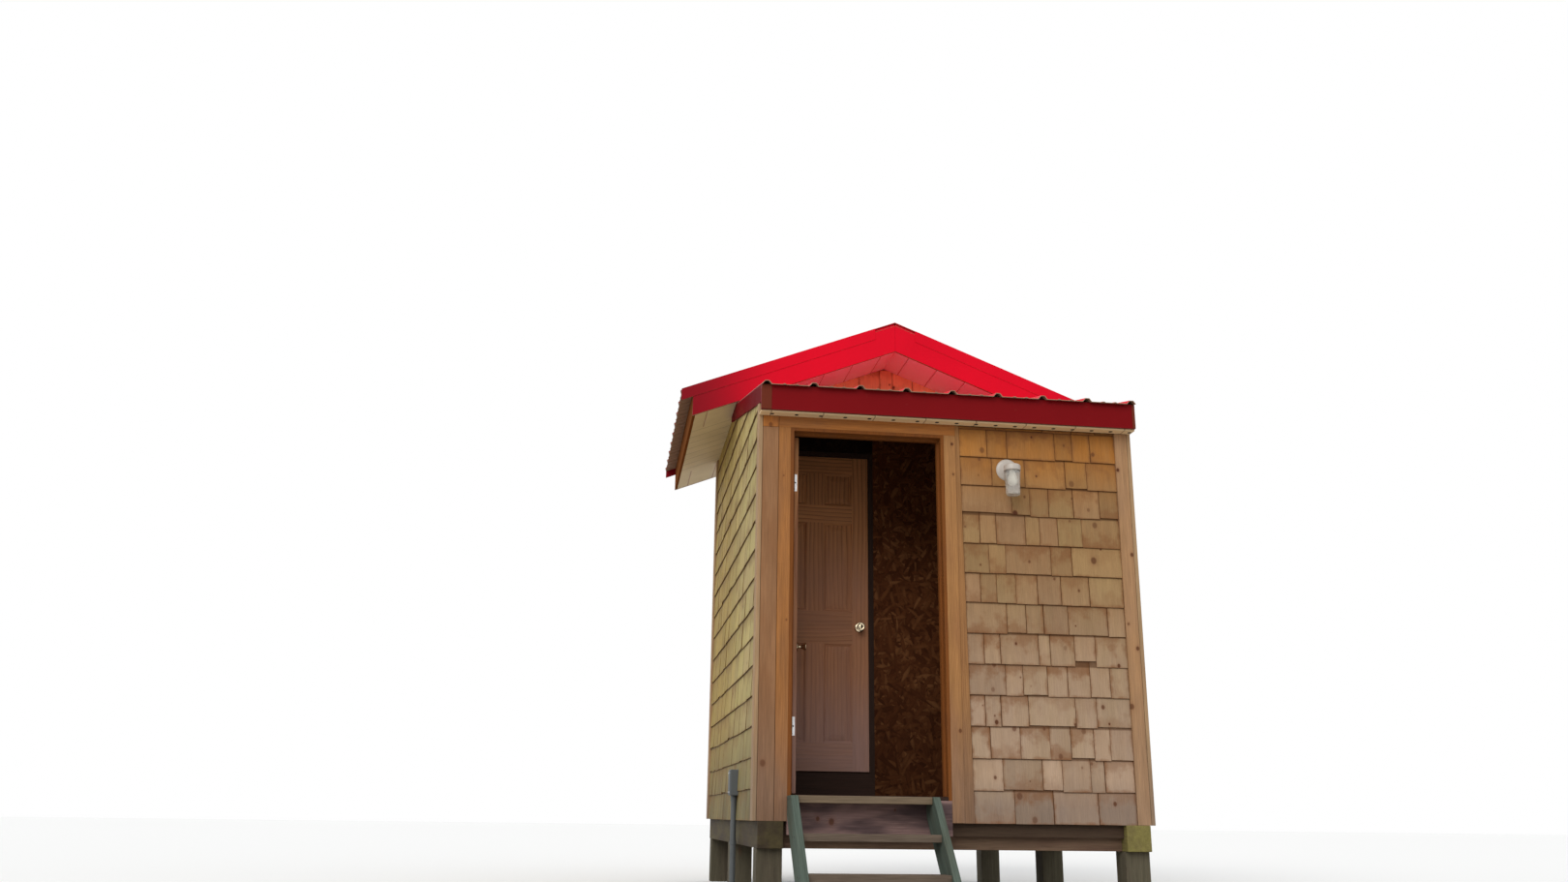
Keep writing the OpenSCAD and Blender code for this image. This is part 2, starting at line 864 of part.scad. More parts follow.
module shed_soffit() {
  color("wheat")
    block([-x_out, y_shed_front + fascia_t, z_front_top - soffit_t],
          [x_out, y_front, z_front_top]);
}

// Places of the rafters: at both rakes, over both gable walls and evenly between those
function rafter_places() =
  let(
    first = y_gable, last = y_back - trim_t - rafter_t,
    bays = ceil((last - first) / rafter_pitch)
  )
  concat(
    [y_rake + fascia_t],
    [for (i = [0:bays]) first + (last - first) * i / bays],
    [y_roof_back - fascia_t - rafter_t]
  );

module main_deck() {
  color("peru")
    both_sides() {
      xz(y_rake + fascia_t, y_roof_back - fascia_t)
        slope_strip(half_gap, x_deck, -main_board_v, 0);
      for (y = rafter_places())
        xz(y, y + rafter_t) slope_strip(half_gap, x_deck, -deck_v, 0);
    }
}

module main_roofing() {
  x0 = 2 * half_gap;
  length = (x_drip - x0) / cos(main_angle);
  color("firebrick")
    both_sides()
      translate([x0, y_rake, main_top(x0) + seat_gap])
        rotate([0, main_angle, 0])
          rotate([90, 0, 90])
            linear_extrude(height = length) ribbed_profile(y_roof_back - y_rake);
}

module ridge_cap() {
  low = main_top(cap_run) + cap_v;
  high = main_top(0) + cap_v;
  color("firebrick")
    xz(y_rake, y_roof_back)
      polygon([
        [-cap_run, low], [0, high], [cap_run, low],
        [cap_run, low + sheet_v], [0, high + sheet_v], [-cap_run, low + sheet_v]
      ]);
}

module rake_boards() {
  color("firebrick")
    both_sides()
      for (y = [y_rake, y_roof_back - fascia_t])
        xz(y, y + fascia_t) slope_strip(half_gap, x_fascia, -deck_v - soffit_v, 0);
}

// A folded trim over both rakes: a strip on the ribs and a face in front of the rake board
module gable_trims() {
  x0 = cap_run + 2 * half_gap;
  top = cap_v + sheet_v;
  color("red")
    both_sides()
      for (end = [[y_rake - sheet_t, y_rake - sheet_t],
                  [y_roof_back + sheet_t - trim_top_w, y_roof_back]]) {
        xz(end[0], end[0] + trim_top_w) slope_strip(x0, x_drip, cap_v, top);
        xz(end[1], end[1] + sheet_t) slope_strip(x0, x_drip, top - trim_face_h / cos(main_angle), top);
      }
}

module eave_fascias() {
  color("firebrick")
    both_sides()
      xz(y_rake + fascia_t, y_roof_back - fascia_t)
        slope_strip(x_deck, x_fascia, -deck_v - soffit_v, 0);
}

module eave_soffits() {
  color("wheat")
    both_sides()
      xz(y_gable, y_back - trim_t)
        slope_strip(x_face, x_deck, -deck_v - soffit_v, -deck_v - seat_gap);
}

module gable_soffits() {
  color("wheat")
    both_sides()
      for (y = [[y_rake + fascia_t, y_gable], [y_back - trim_t, y_roof_back - fascia_t]])
        xz(y[0], y[1]) slope_strip(half_gap, x_deck, -deck_v - soffit_v, -deck_v - seat_gap);
}

// The white cap: a cup that opens downwards
module light_cap() {
  bevel = cap_h / 8;
  inner_r = cap_r - glass_t;
  rotate_extrude()
    polygon([
      [cap_r, 0], [cap_r, cap_h - bevel], [cap_r - bevel, cap_h], [0, cap_h],
      [0, cap_h / 2], [inner_r, cap_h / 2], [inner_r, 0]
    ]);
}

module wall_light() {
  rim = light_base_t / 2;
  arm_r = cap_h / 6;
  color("white") {
    translate([light_shift, y_face, z_light])
      rotate([90, 0, 0])
        rotate_extrude()
          polygon([
            [0, 0], [light_base_r, 0], [light_base_r, rim], [light_base_r - rim, light_base_t],
            [0, light_base_t]
          ]);
    translate([light_shift, y_face, z_cap + cap_h / 2 + arm_r + eps])
      rotate([90, 0, 0]) cylinder(r = arm_r, h = light_reach - cap_r / 2);
    translate([light_shift, y_face - light_reach, z_cap]) light_cap();
  }
}

// The jar's outline on one side, grown inwards by inset; its foot is at Z = 0
function jar_outline(inset) = [
  [0, inset], [jar_r - 2 * jar_taper - inset, inset], [jar_r - jar_taper - inset, jar_taper + inset],
  [jar_r - inset, jar_h - jar_taper], [jar_neck_r - inset, jar_h],
  [jar_neck_r - inset, jar_h + cap_h / 2 - seat_gap - inset], [0, jar_h + cap_h / 2 - seat_gap - inset]
];

// The glass jar: its neck goes up into the cap
module light_jar() {
  color("lightcyan")
    translate([light_shift, y_face - light_reach, z_cap - jar_h])
      rotate_extrude()
        difference() {
          polygon(jar_outline(0));
          polygon(jar_outline(glass_t));
        }
}

module service_box() {
  y0 = y_front + box_from_front;
  z0 = floor_h + box_above_floor;
  color("gray") {
    block([-x_face - box_depth, y0 - box_w / 2, z0], [-x_face, y0 + box_w / 2, z0 + box_h]);
    translate([-x_face - conduit_r - trim_t / 2, y0, 0]) cylinder(r = conduit_r, h = z0 + eps);
  }
}

// Height of a stringer's upper edge
function stringer_top(y) = z_steps + stringer_lap + stair_slope * (y - y_front + tread_d);

module stringers() {
  middle = x_door - steps_shift;
  y0 = y_front - stair_reach;
  drop = stringer_w * sqrt(1 + stair_slope * stair_slope);
  color("darkseagreen")
    for (x = [middle - steps_w / 2, middle + steps_w / 2 - plank_t])
      yz(x, x + plank_t)
        intersection() {
          polygon([
            [y0, stringer_top(y0)], [y_front, stringer_top(y_front)],
            [y_front, stringer_top(y_front) - drop], [y0, stringer_top(y0) - drop]
          ]);
          translate([y0, 0]) square([stair_reach, z_steps]);
        }
}

module treads() {
  middle = x_door - steps_shift;
  half = steps_w / 2 - plank_t;
  color("rosybrown")
    for (i = [0:tread_count - 1])
      block([middle - half, y_front - tread_d - i * tread_run, z_steps - i * tread_rise - plank_t],
            [middle + half, y_front - i * tread_run, z_steps - i * tread_rise]);
}

posts();
skids();
cross_boards();
floor_joists();
floor();
door_apron();
threshold();
front_wall_left();
front_wall_right();
front_wall_header();
left_wall();
right_wall();
back_wall();
gable_wall();
partition();
partition_header();
partition_sill();
rear_floor();
outer_frame();
inner_frame();
casing_sides();
casing_head();
corner_boards();
outer_door();
outer_door_knobs();
outer_door_hinges();
inner_door();
inner_door_knobs();
inner_door_hinges();
frame_hinges();
shed_deck();
shed_roofing();
shed_fascia();
shed_side_trims();
shed_soffit();
main_deck();
main_roofing();
ridge_cap();
rake_boards();
gable_trims();
eave_fascias();
eave_soffits();
gable_soffits();
wall_light();
light_jar();
service_box();
stringers();
treads();
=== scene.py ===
import json
import math
import random

import bmesh
import bpy
from mathutils import Matrix, Vector


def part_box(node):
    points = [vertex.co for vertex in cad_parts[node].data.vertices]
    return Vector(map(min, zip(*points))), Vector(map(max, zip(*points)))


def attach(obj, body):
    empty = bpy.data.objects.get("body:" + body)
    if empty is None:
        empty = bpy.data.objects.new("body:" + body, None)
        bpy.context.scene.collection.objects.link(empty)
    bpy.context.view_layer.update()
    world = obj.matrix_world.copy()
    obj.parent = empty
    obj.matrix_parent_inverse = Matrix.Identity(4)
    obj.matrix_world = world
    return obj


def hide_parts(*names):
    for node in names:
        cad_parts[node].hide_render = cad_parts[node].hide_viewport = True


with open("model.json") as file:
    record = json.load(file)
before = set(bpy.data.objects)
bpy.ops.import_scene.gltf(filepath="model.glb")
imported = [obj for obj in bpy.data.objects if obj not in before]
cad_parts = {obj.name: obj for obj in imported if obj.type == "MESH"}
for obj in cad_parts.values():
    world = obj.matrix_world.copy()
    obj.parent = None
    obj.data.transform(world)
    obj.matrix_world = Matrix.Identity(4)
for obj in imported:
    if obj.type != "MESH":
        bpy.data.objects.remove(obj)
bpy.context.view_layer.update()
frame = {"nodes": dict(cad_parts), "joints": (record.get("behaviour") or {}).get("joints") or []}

# The photograph's view, fitted to the corners, courses and roof edges
PHOTO_WIDTH = 1620
FOCAL_PIXELS = 1321.0
CAMERA_PLACE = Vector((-1.9435, -8.4784, 0.4644))
YAW = math.radians(7.74)
PITCH = math.radians(16.36)
ROLL = math.radians(0.72)

# Boxes of the frame's nodes, and planes and edges from them, in metres
CORNER_LOW, CORNER_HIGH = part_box("corner_boards")
HEAD_LOW, HEAD_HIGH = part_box("casing_head")
CASING_LOW, CASING_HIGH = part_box("casing_sides")
RAKE_LOW, RAKE_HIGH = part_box("rake_boards")
FASCIA_LOW, FASCIA_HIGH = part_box("shed_fascia")
ROOF_LOW, ROOF_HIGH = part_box("main_roofing")
SHED_LOW, SHED_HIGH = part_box("shed_roofing")
SOFFIT_LOW, SOFFIT_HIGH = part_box("shed_soffit")
BAND_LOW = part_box("shed_side_trims")[0]
GABLE_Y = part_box("gable_wall")[0].y
X_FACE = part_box("right_wall")[1].x
X_OUT = CORNER_HIGH.x
Y_FRONT = CORNER_LOW.y
Y_FACE = CASING_HIGH.y
Y_BACK = CORNER_HIGH.y
TRIM_T = Y_FACE - Y_FRONT
Y_BACK_FACE = Y_BACK - TRIM_T
Z_SKIRT = CORNER_LOW.z
CORNER_W = 0.1
X_BOARD = X_OUT - CORNER_W
JOINT = 0.002
CUT_GAP = 0.0008
TOP_GAP = 0.001
UP, SIDE, OUT = Vector((0, 0, 1)), Vector((1, 0, 0)), Vector((0, -1, 0))

# Roofs
MAIN_SLOPE = 0.39
SHED_SLOPE = 0.238
RIB_H = 0.019
RIB_FOOT = 0.058
RIB_PITCH = 0.277
RIDGE_GAP = 0.001
RIB_PROFILE = ((-0.011, -0.0004), (-0.005, 0.004), (0.005, 0.004), (0.011, -0.0004))
SCREW_FROM_RIB = 0.014
SHEET_T = 0.003
SCREW_RISE = 0.0012
VENT_R = 0.012
VENT_PITCHES = (0.144, 0.119)
VENT_CHANGE_X = -0.2
FOLD_W = (0.06, 0.018)

# Steps
TREADS = 3
TREAD_RUN = 0.181
TREAD_D = 0.14
PLANK_T = 0.038

# Shingles
FRONT_COURSE = 0.1736
SIDE_COURSE = 0.1679
BUTT_T = 0.014
SHINGLE_TAPER = 0.3
SHINGLE_LAP = 0.135
SHINGLE_GAP = 0.0032
FILLER_W = (0.057, 0.024)

# Light and service box
LIGHT_R = 0.068
JAR_CAP = (-0.0287, 0.0123)
BOX_H = 0.152
CONDUIT_R = 0.017
STRAP_Z = 0.3

# Joints between the front wall's shingles, from the lowest course up, as X in millimetres
FRONT_JOINTS = (
    (328, 550, 809),
    (267, 494, 609, 773, 856),
    (201, 374, 545, 667, 802, 898),
    (177, 268, 429, 704, 829),
    (302, 403, 546, 667, 800, 918),
    (180, 276, 502, 572, 716, 842),
    (322, 435, 540, 687, 924),
    (172, 267, 381, 510, 652, 823),
    (227, 327, 599, 727),
    (177, 276, 453, 539, 650, 797),
    (376, 486, 600, 753, 914),
    (262, 463, 712, 845),
    (236, 359, 655, 761, 876),
)
# One shingle that ends higher than its neighbours: course, place in the course, and how much
SHORT_SHINGLE = (5, 5, 0.03)
# Knots of the front wall's shingles: X, Z and radius in millimetres, and darkness
FRONT_KNOTS = (
    (515, 2664, 7.1, 1), (713, 2621, 9.3, 0.5), (892, 2573, 14.2, 0.6), (206, 2566, 18.5, 0.55),
    (189, 2511, 11.4, 0.45), (534, 2422, 7.8, 0.8), (179, 2412, 6.4, 0.4), (748, 2384, 19.9, 0.5),
    (748, 2295, 7.1, 0.7), (457, 2293, 9.3, 0.6), (845, 2230, 11.4, 0.45), (394, 2188, 20, 1),
    (728, 2158, 8.5, 0.4), (881, 2139, 18.5, 0.55), (90, 2098, 7.8, 0.5), (909, 1998, 8.5, 0.9),
    (861, 1926, 21.4, 0.75), (469, 1905, 9.3, 0.6), (174, 1875, 7.1, 0.7), (617, 1809, 9.3, 0.6),
    (761, 1745, 9.3, 0.7), (730, 1539, 4.6, 1), (370, 1427, 8.4, 0.9), (662, 1410, 13.8, 0.3),
    (976, 1318, 11.5, 0.9), (237, 1307, 15.3, 0.7), (151, 1284, 10.7, 0.6), (389, 1237, 6.1, 0.6),
    (447, 1189, 6.1, 0.3), (224, 1165, 13.8, 0.4), (868, 1082, 13, 0.75), (162, 1075, 3.8, 0.8),
    (230, 1020, 6.9, 0.6), (899, 989, 6.9, 1), (239, 985, 13.8, 0.95), (698, 980, 9.2, 0.8),
    (516, 955, 10.7, 0.6), (342, 952, 15.3, 0.6), (746, 946, 16.8, 0.45), (603, 805, 15.3, 0.55),
    (783, 768, 9.2, 0.5), (726, 745, 6.9, 0.4), (221, 685, 10.7, 0.75), (420, 668, 4.6, 0.7),
    (358, 587, 19.9, 0.6), (906, 553, 13, 0.8), (438, 462, 18.4, 0.55),
)
# Knots of the front trim boards and of the apron, the same way
TRIM_KNOTS = (
    (1040, 2482, 11.5, 1), (1094, 1968, 12.5, 0.8), (1092, 1419, 12.5, 0.8),
    (1035, 1088, 16.5, 0.7), (1046, 1559, 9, 0.6), (20, 2591, 10, 0.9), (24, 2407, 9, 0.6),
    (26, 933, 12, 0.7), (-1078, 740, 19, 0.6), (-1062, 2654, 15, 0.6), (-982, 2351, 6, 0.5),
    (-957, 1519, 7.5, 0.5),
)
APRON_KNOTS = ((-775, 455, 12, 0.7), (-700, 440, 18, 0.7), (-350, 505, 5, 0.9))
FAR_AWAY = 50.0

# Doors, as the frame has them: name, body and width
DOORS = (("outer", "front_door", 0.864), ("inner", "rear_door", 0.711))
DOOR_H = 2.032
DOOR_T = 0.035
STILE_W = 0.112
MULLION_W = 0.114
RAILS = (0.173, 0.21, 0.117, 0.117)
UPPER_PANELS = (0.581, 0.216)
EDGE_INSET = 0.0006
HINGE_HEIGHTS = (0.36, DOOR_H - 0.275)
# The closed door's corner, seen from its pin
FROM_PIN = Vector((0.0025, -0.007, 0.0))
# Steps of a panel's moulding from its edge inwards, and how deep each lies
MOULDING = ((0.0, 0.0), (0.003, 0.002), (0.007, 0.005), (0.012, 0.0075), (0.014, 0.009),
            (0.017, 0.009), (0.019, 0.0075), (0.05, 0.002), (0.054, 0.002))
STICKING = 4
KNOB_HEIGHT = 0.9
KNOB_INSET = 0.066
KNOB_PROFILE = (
    (0.0, 0.0), (0.032, 0.0), (0.032, 0.003), (0.03, 0.006), (0.024, 0.008), (0.014, 0.01),
    (0.0115, 0.014), (0.0105, 0.022), (0.012, 0.03), (0.0165, 0.04), (0.0225, 0.048),
    (0.0265, 0.0535), (0.027, 0.056), (0.0255, 0.0575), (0.021, 0.058), (0.0185, 0.0565),
    (0.01, 0.056), (0.0085, 0.0575), (0.0, 0.0578))

rng = random.Random(2158)


def soffit_under(x):
    """Height of the underside of the gable roof's soffits."""
    return RAKE_LOW.z + MAIN_SLOPE * (RAKE_HIGH.x - abs(x))


def band_under(y):
    """Height of the lower edge of the lean-to roof's side trims."""
    return BAND_LOW.z + SHED_SLOPE * (y - BAND_LOW.y)


# Materials

class Value:
    """A node's output, which takes + - * and / where it is a number."""

    def __init__(self, graph, socket):
        self.graph = graph
        self.socket = socket

    def __add__(self, other):
        return self.graph.math("ADD", self, other)

    def __radd__(self, other):
        return self.graph.math("ADD", other, self)

    def __sub__(self, other):
        return self.graph.math("SUBTRACT", self, other)

    def __rsub__(self, other):
        return self.graph.math("SUBTRACT", other, self)

    def __mul__(self, other):
        return self.graph.math("MULTIPLY", self, other)

    def __truediv__(self, other):
        return self.graph.math("DIVIDE", self, other)


class Graph:
    """Short calls for the nodes of a new material or world."""

    def __init__(self, owner):
        owner.use_nodes = True
        self.owner = owner
        self.tree = owner.node_tree
        self.tree.nodes.clear()

    def node(self, kind, inputs=None, **settings):
        """A new node with some settings; inputs go by name or by place."""
        made = self.tree.nodes.new(kind)
        for key, value in settings.items():
            setattr(made, key, value)
        for key, value in (inputs or {}).items():
            self.put(made.inputs[key], value)
        return made

    def put(self, socket, value):
        """Gives an input a number, a colour or what another node puts out."""
        if isinstance(value, bpy.types.Node):
            value = Value(self, value.outputs[0])
        if isinstance(value, Value):
            self.tree.links.new(value.socket, socket)
        elif isinstance(value, (tuple, list)) and len(value) == 3 < len(socket.default_value):
            socket.default_value = (*value, 1.0)
        else:
            socket.default_value = value

    def first(self, kind, inputs=None, **settings):
        return Value(self, self.node(kind, inputs, **settings).outputs[0])

    def math(self, operation, a, b=0.0, clamp=False):
        return self.first("ShaderNodeMath", {0: a, 1: b}, operation=operation, use_clamp=clamp)

    def greater(self, a, b):
        return self.math("GREATER_THAN", a, b)

    def most(self, a, b):
        return self.math("MAXIMUM", a, b)

    def least(self, a, b):
        return self.math("MINIMUM", a, b)

    def size(self, a):
        return self.math("ABSOLUTE", a)

    def vector(self, operation, a, b):
        return self.first("ShaderNodeVectorMath", {0: a, 1: b}, operation=operation)

    def length(self, x, y):
        made = self.node("ShaderNodeVectorMath", {0: self.join(x, y, 0.0)}, operation="LENGTH")
        return Value(self, made.outputs["Value"])

    def split(self, vector):
        made = self.node("ShaderNodeSeparateXYZ", {0: vector})
        return [Value(self, socket) for socket in made.outputs]

    def join(self, x, y, z):
        return self.first("ShaderNodeCombineXYZ", {0: x, 1: y, 2: z})

    def attribute(self, name, output="Fac"):
        made = self.node("ShaderNodeAttribute", attribute_name=name)
        return Value(self, made.outputs[output])

    def object_place(self):
        return Value(self, self.node("ShaderNodeTexCoord").outputs["Object"])

    def noise(self, place, scale, detail=2.0, rough=0.5):
        """Soft noise; scale is one number or one for each axis."""
        if isinstance(scale, tuple):
            place, scale = self.vector("MULTIPLY", place, scale), 1.0
        made = self.node("ShaderNodeTexNoise", {"Vector": place, "Scale": scale,
                                                "Detail": detail, "Roughness": rough})
        return Value(self, made.outputs["Fac"])

    def cells(self, place):
        """The distance, colour and middle of the nearest cell."""
        made = self.node("ShaderNodeTexVoronoi", {"Vector": place, "Scale": 1.0}, feature="F1")
        return [Value(self, made.outputs[name]) for name in ("Distance", "Color", "Position")]

    def spread(self, value, low, high, to_low=0.0, to_high=1.0, smooth=False):
        """Takes low..high to to_low..to_high."""
        return self.first("ShaderNodeMapRange",
                          {"Value": value, "From Min": low, "From Max": high,
                           "To Min": to_low, "To Max": to_high},
                          interpolation_type="SMOOTHSTEP" if smooth else "LINEAR")

    def mix(self, factor, a, b, blend="MIX"):
        made = self.node("ShaderNodeMix", {"Factor": factor}, data_type="RGBA", blend_type=blend)
        colours = [s for s in (*made.inputs, *made.outputs) if s.type == "RGBA"]
        self.put(colours[0], a)
        self.put(colours[1], b)
        return Value(self, colours[2])

    def lit(self, colour, light):
        """A colour times a number."""
        return self.mix(1.0, colour, self.join(light, light, light), "MULTIPLY")

    def ramp(self, factor, stops):
        made = self.node("ShaderNodeValToRGB", {0: factor})
        elements = made.color_ramp.elements
        while len(elements) < len(stops):
            elements.new(0.5)
        for element, (position, colour) in zip(elements, stops):
            element.position = position
            element.color = (*colour, 1.0)
        return Value(self, made.outputs[0])


class Material(Graph):
    """The nodes of a material with one shader."""

    def __init__(self, name):
        super().__init__(bpy.data.materials.new(name))
        self.shader = self.node("ShaderNodeBsdfPrincipled")
        self.node("ShaderNodeOutputMaterial", {"Surface": self.shader})

    def set(self, name, value):
        self.put(self.shader.inputs[name], value)

    def surface(self, colour, roughness, gloss=None):
        self.set("Base Color", colour)
        self.set("Roughness", roughness)
        if gloss is not None:
            self.set("Specular IOR Level", gloss)

    def bump(self, height, distance, strength):
        self.set("Normal", self.node("ShaderNodeBump", {"Height": height, "Distance": distance,
                                                        "Strength": strength}))


def scaled(colour, share):
    return [c * share for c in colour]


def cell_knots(g, place, share):
    """Scattered knots: the points of wide cells, of which only some have one."""
    flat = g.vector("MULTIPLY", place, (4.6, 1.9, 0.0))
    distance, colour, middle = g.cells(flat)
    shift = g.vector("SUBTRACT", flat, middle)
    pick, width, _ = g.split(colour)
    size = g.spread(width, 0.0, 1.0, 0.02, 0.062)
    reach = distance / size + g.greater(pick, share) * FAR_AWAY
    return reach, g.split(shift)[0] * 0.2, 1.0


def marked_knot(g, place, name):
    """A knot that the piece's own attributes place, as on each shingle."""
    mark = g.attribute(name, "Vector")
    x, y, _ = g.split(g.vector("SUBTRACT", place, mark))
    return g.length(x, y * 0.8) / g.split(mark)[2], x, g.attribute(f"{name}_dark")


def in_metres(x, z, radius, dark):
    return x / 1000, z / 1000, radius / 1000, dark


def placed_knot(g, x, z, radius, dark):
    """A knot at a place of the front boards."""
    px, py, pz = g.split(g.object_place())
    side = px - x
    behind = g.greater(py, Y_FACE + 0.001) * FAR_AWAY
    return g.length(side, (pz - z) * 0.8) / radius + behind, side, dark


def knot_fields(g, found):
    """The halo, the core, the push on the rings, and how near the nearest knot is."""
    halo, core, push, nearest = 0.0, 0.0, 0.0, FAR_AWAY
    for reach, side, dark in found:
        near = g.math("POWER", 0.5, reach * reach)
        push = push + side * near
        halo = g.most(halo, near * dark)
        core = g.most(core, g.spread(reach, 1.0, 0.55, smooth=True) * dark)
        nearest = g.least(nearest, reach)
    return halo, core, push, nearest


def ring_bands(g, place, push, ring):
    """Rings in the wood, bent by slow waves and round the knots."""
    bend = g.noise(place, (5.0, 0.9, 5.0))
    x, _, z = g.split(place)
    across = x + z * 0.55 + (bend - 0.5) * 0.085 - push * 0.9
    stops = ((0.0, 0.0), (0.55, 0.25), (0.88, 1.0), (1.0, 0.0))
    return g.ramp(g.math("FRACT", across / ring), [(at, (value,) * 3) for at, value in stops])


def stain_marks_and_painted_shade(g, colour, place, share, tint):
    """A shingle's smudges, the rusty marks at its edges and the painted shade under the next
    course.
    """
    from_left, from_right, rise = g.split(g.attribute("edges", "Vector"))
    amount = g.attribute("stain")
    below = 1.0 - rise
    edge = below + g.greater(amount, 0.0) * (rise - below)
    blot = g.noise(place, (14.0, 11.0, 14.0), 4.0, 0.62)
    smudge = g.spread(edge * 0.5 + blot, 0.7, 1.02, smooth=True) * g.size(amount)
    colour = g.mix(smudge * share, colour, tint)
    reach = g.spread(blot, 0.3, 0.75, 0.002, 0.026)
    rusty = g.math("SUBTRACT", 1.0, g.least(from_left, from_right) / reach, clamp=True)
    low = g.math("SUBTRACT", 1.0, rise * 0.17 / reach, clamp=True)
    colour = g.mix(g.most(rusty, low) * g.spread(blot, 0.4, 0.66, 0.15, 0.8), colour, tint)
    # Painted shade: the top of each exposed course darkens where the next course's butts shade it.
    shade = g.spread(rise, 0.94, 1.0, 0.0, 0.68, smooth=True)
    return g.mix(shade, colour, scaled(tint, 0.42))


def wood(name, early, late, ring=0.006, contrast=0.6, fibre=0.25, knots=0.25,
         knot=(0.07, 0.024, 0.01), tones=(0.8, 1.18), pink=None, sallow=None,
         blush=(0.62, 0.34, 0.22), blush_share=0.25, roughness=0.66, depth=0.0008,
         marks=False, spots=(), stain_and_shade=None, fades=(), end_grain_and_shade=None):
    """Sawn wood: rings bent round knots, fine fibres, a tone and a hue for each board, stain marks
    with painted shade, and fades. The attribute grain holds the place in the board: across,
    along and through it. Each fade is an axis, where it starts and is full, a tint and a share;
    some fades are weathering and dirt, others painted light and shade."""
    g = Material(name)
    place = g.attribute("grain", "Vector")
    found = [marked_knot(g, place, key) for key in ("knot_a", "knot_b") if marks]
    found += [cell_knots(g, place, knots)] if knots else []
    found += [placed_knot(g, *in_metres(*spot)) for spot in spots]
    halo, core, push, nearest = knot_fields(g, found)
    bands = ring_bands(g, place, push, ring)
    streaks = g.noise(place, (230.0, 7.0, 230.0), 3.0, 0.6)
    broad = g.noise(place, (38.0, 1.6, 38.0))
    patches = g.noise(place, (9.0, 2.2, 9.0), 3.0, 0.55)
    colour = g.mix(bands * contrast, early, late)
    for tint, end in ((pink, 1.0), (sallow, -1.0)):
        if tint:
            colour = g.mix(g.spread(g.attribute("hue"), 0.0, end, 0.0, 0.9), colour, tint)
    blushing = g.spread(patches, 0.42, 0.72, smooth=True) * (blush_share * 2.0)
    colour = g.mix(blushing, colour, blush)
    light = g.spread(streaks, 0.25, 0.75, 1.0 - fibre, 1.0 + fibre)
    light = light * g.spread(broad, 0.3, 0.7, 1.0 - fibre * 0.5, 1.0 + fibre * 0.4)
    light = light * g.spread(g.attribute("tone"), -1.0, 1.0, *tones)
    colour = g.lit(colour, light)
    around = g.split(g.object_place())
    # Fades by place: some paint weathering and dirt, some paint light and shade that fall by
    # height or side.
    for axis, start, full, tint, share in fades:
        weathering_and_painted_light = g.math("MULTIPLY", g.spread(around[axis], start, full, 0.0, share, smooth=True),
                      g.spread(patches, 0.3, 0.7, 0.8, 1.1), clamp=True)
        colour = g.mix(weathering_and_painted_light, colour, g.lit(tint, light))
    if stain_and_shade:
        colour = stain_marks_and_painted_shade(g, colour, place, *stain_and_shade)
    if found:
        colour = g.mix(halo * 0.5, colour, scaled(knot, 2.8))
        rings = g.math("FRACT", nearest * 3.2)
        colour = g.mix(core, colour, g.mix(rings, knot, scaled(knot, 1.9)))
    # The shingles' sawn edges and butts are darker: partly darker end grain, partly painted shade
    # under the butts and in the joints.
    if end_grain_and_shade:
        colour = g.mix(g.attribute("side") * 0.85, colour, end_grain_and_shade)
    g.surface(colour, g.spread(streaks, 0.2, 0.8, roughness - 0.06, roughness + 0.1), 0.12)
    g.bump(bands * 0.35 + streaks, depth, 0.8)
    return g.owner


def strand_board(name, shades):
    """Strand board: flakes in several directions, the highest on top, each with its own tone."""
    g = Material(name)
    x, y, z = g.split(g.object_place())
    top, tone, gap = -1.0, 0.0, 0.0
    for i, angle in enumerate((0.15, 0.95, 1.75, 2.6)):
        cos, sin = math.cos(angle), math.sin(angle)
        side = x * cos + z * sin + y * cos
        run = z * cos - x * sin - y * sin
        distance, colour, _ = g.cells(g.join(side * 48.0, run * 11.0, 3.1 * i))
        pick, own, _ = g.split(colour)
        over = g.greater(pick, top)
        top = g.most(pick, top)
        tone = over * own + (1.0 - over) * tone
        gap = over * distance + (1.0 - over) * gap
    colour = g.ramp(tone, list(zip((0.0, 0.3, 0.7, 1.0), shades)))
    colour = g.mix(g.spread(gap, 0.35, 0.8, 0.0, 0.5), colour, shades[0])
    # Darker towards the bottom: painted shade.
    g.surface(g.lit(colour, g.spread(z, 0.6, 1.9, 0.62, 1.0, smooth=True)), 0.75, 0.08)
    g.bump(tone - gap, 0.0012, 0.7)
    return g.owner


def paint(name, colour, under=None, dust=(0.3, 0.16, 0.11), dust_share=0.1, end=None,
          gloss=0.07):
    """Factory paint on sheet metal, slightly wavy, with dust and small scuffs; under is the
    colour below, and end darkens the far left with painted shade."""
    g = Material(name)
    place = g.object_place()
    cloud = g.noise(place, 2.3, 5.0, 0.6)
    shade = g.mix(g.spread(cloud, 0.35, 0.75, 0.0, 0.5), colour, scaled(colour, 0.78))
    # end: painted shade, darker towards the far left.
    if end:
        start, full, tint, share = end
        side = g.split(place)[0]
        shade = g.mix(g.spread(side, start, full, 0.0, share, smooth=True), shade, tint)
    scuff = g.spread(g.noise(place, 22.0, 6.0, 0.7), 0.6, 0.74, smooth=True)
    scuff = scuff * g.spread(cloud, 0.4, 0.7, 0.1, 1.0)
    shade = g.mix(scuff * dust_share, shade, dust)
    if under:
        normal = Value(g, g.node("ShaderNodeNewGeometry").outputs["True Normal"])
        shade = g.mix(g.math("LESS_THAN", g.split(normal)[2], -0.2), shade, under)
    g.surface(shade, g.spread(cloud, 0.3, 0.7, 0.37, 0.54), gloss)
    g.bump(g.noise(place, 3.2, 1.0) + g.noise(place, 160.0, 2.0, 0.6) * 0.02, 0.006, 0.35)
    return g.owner


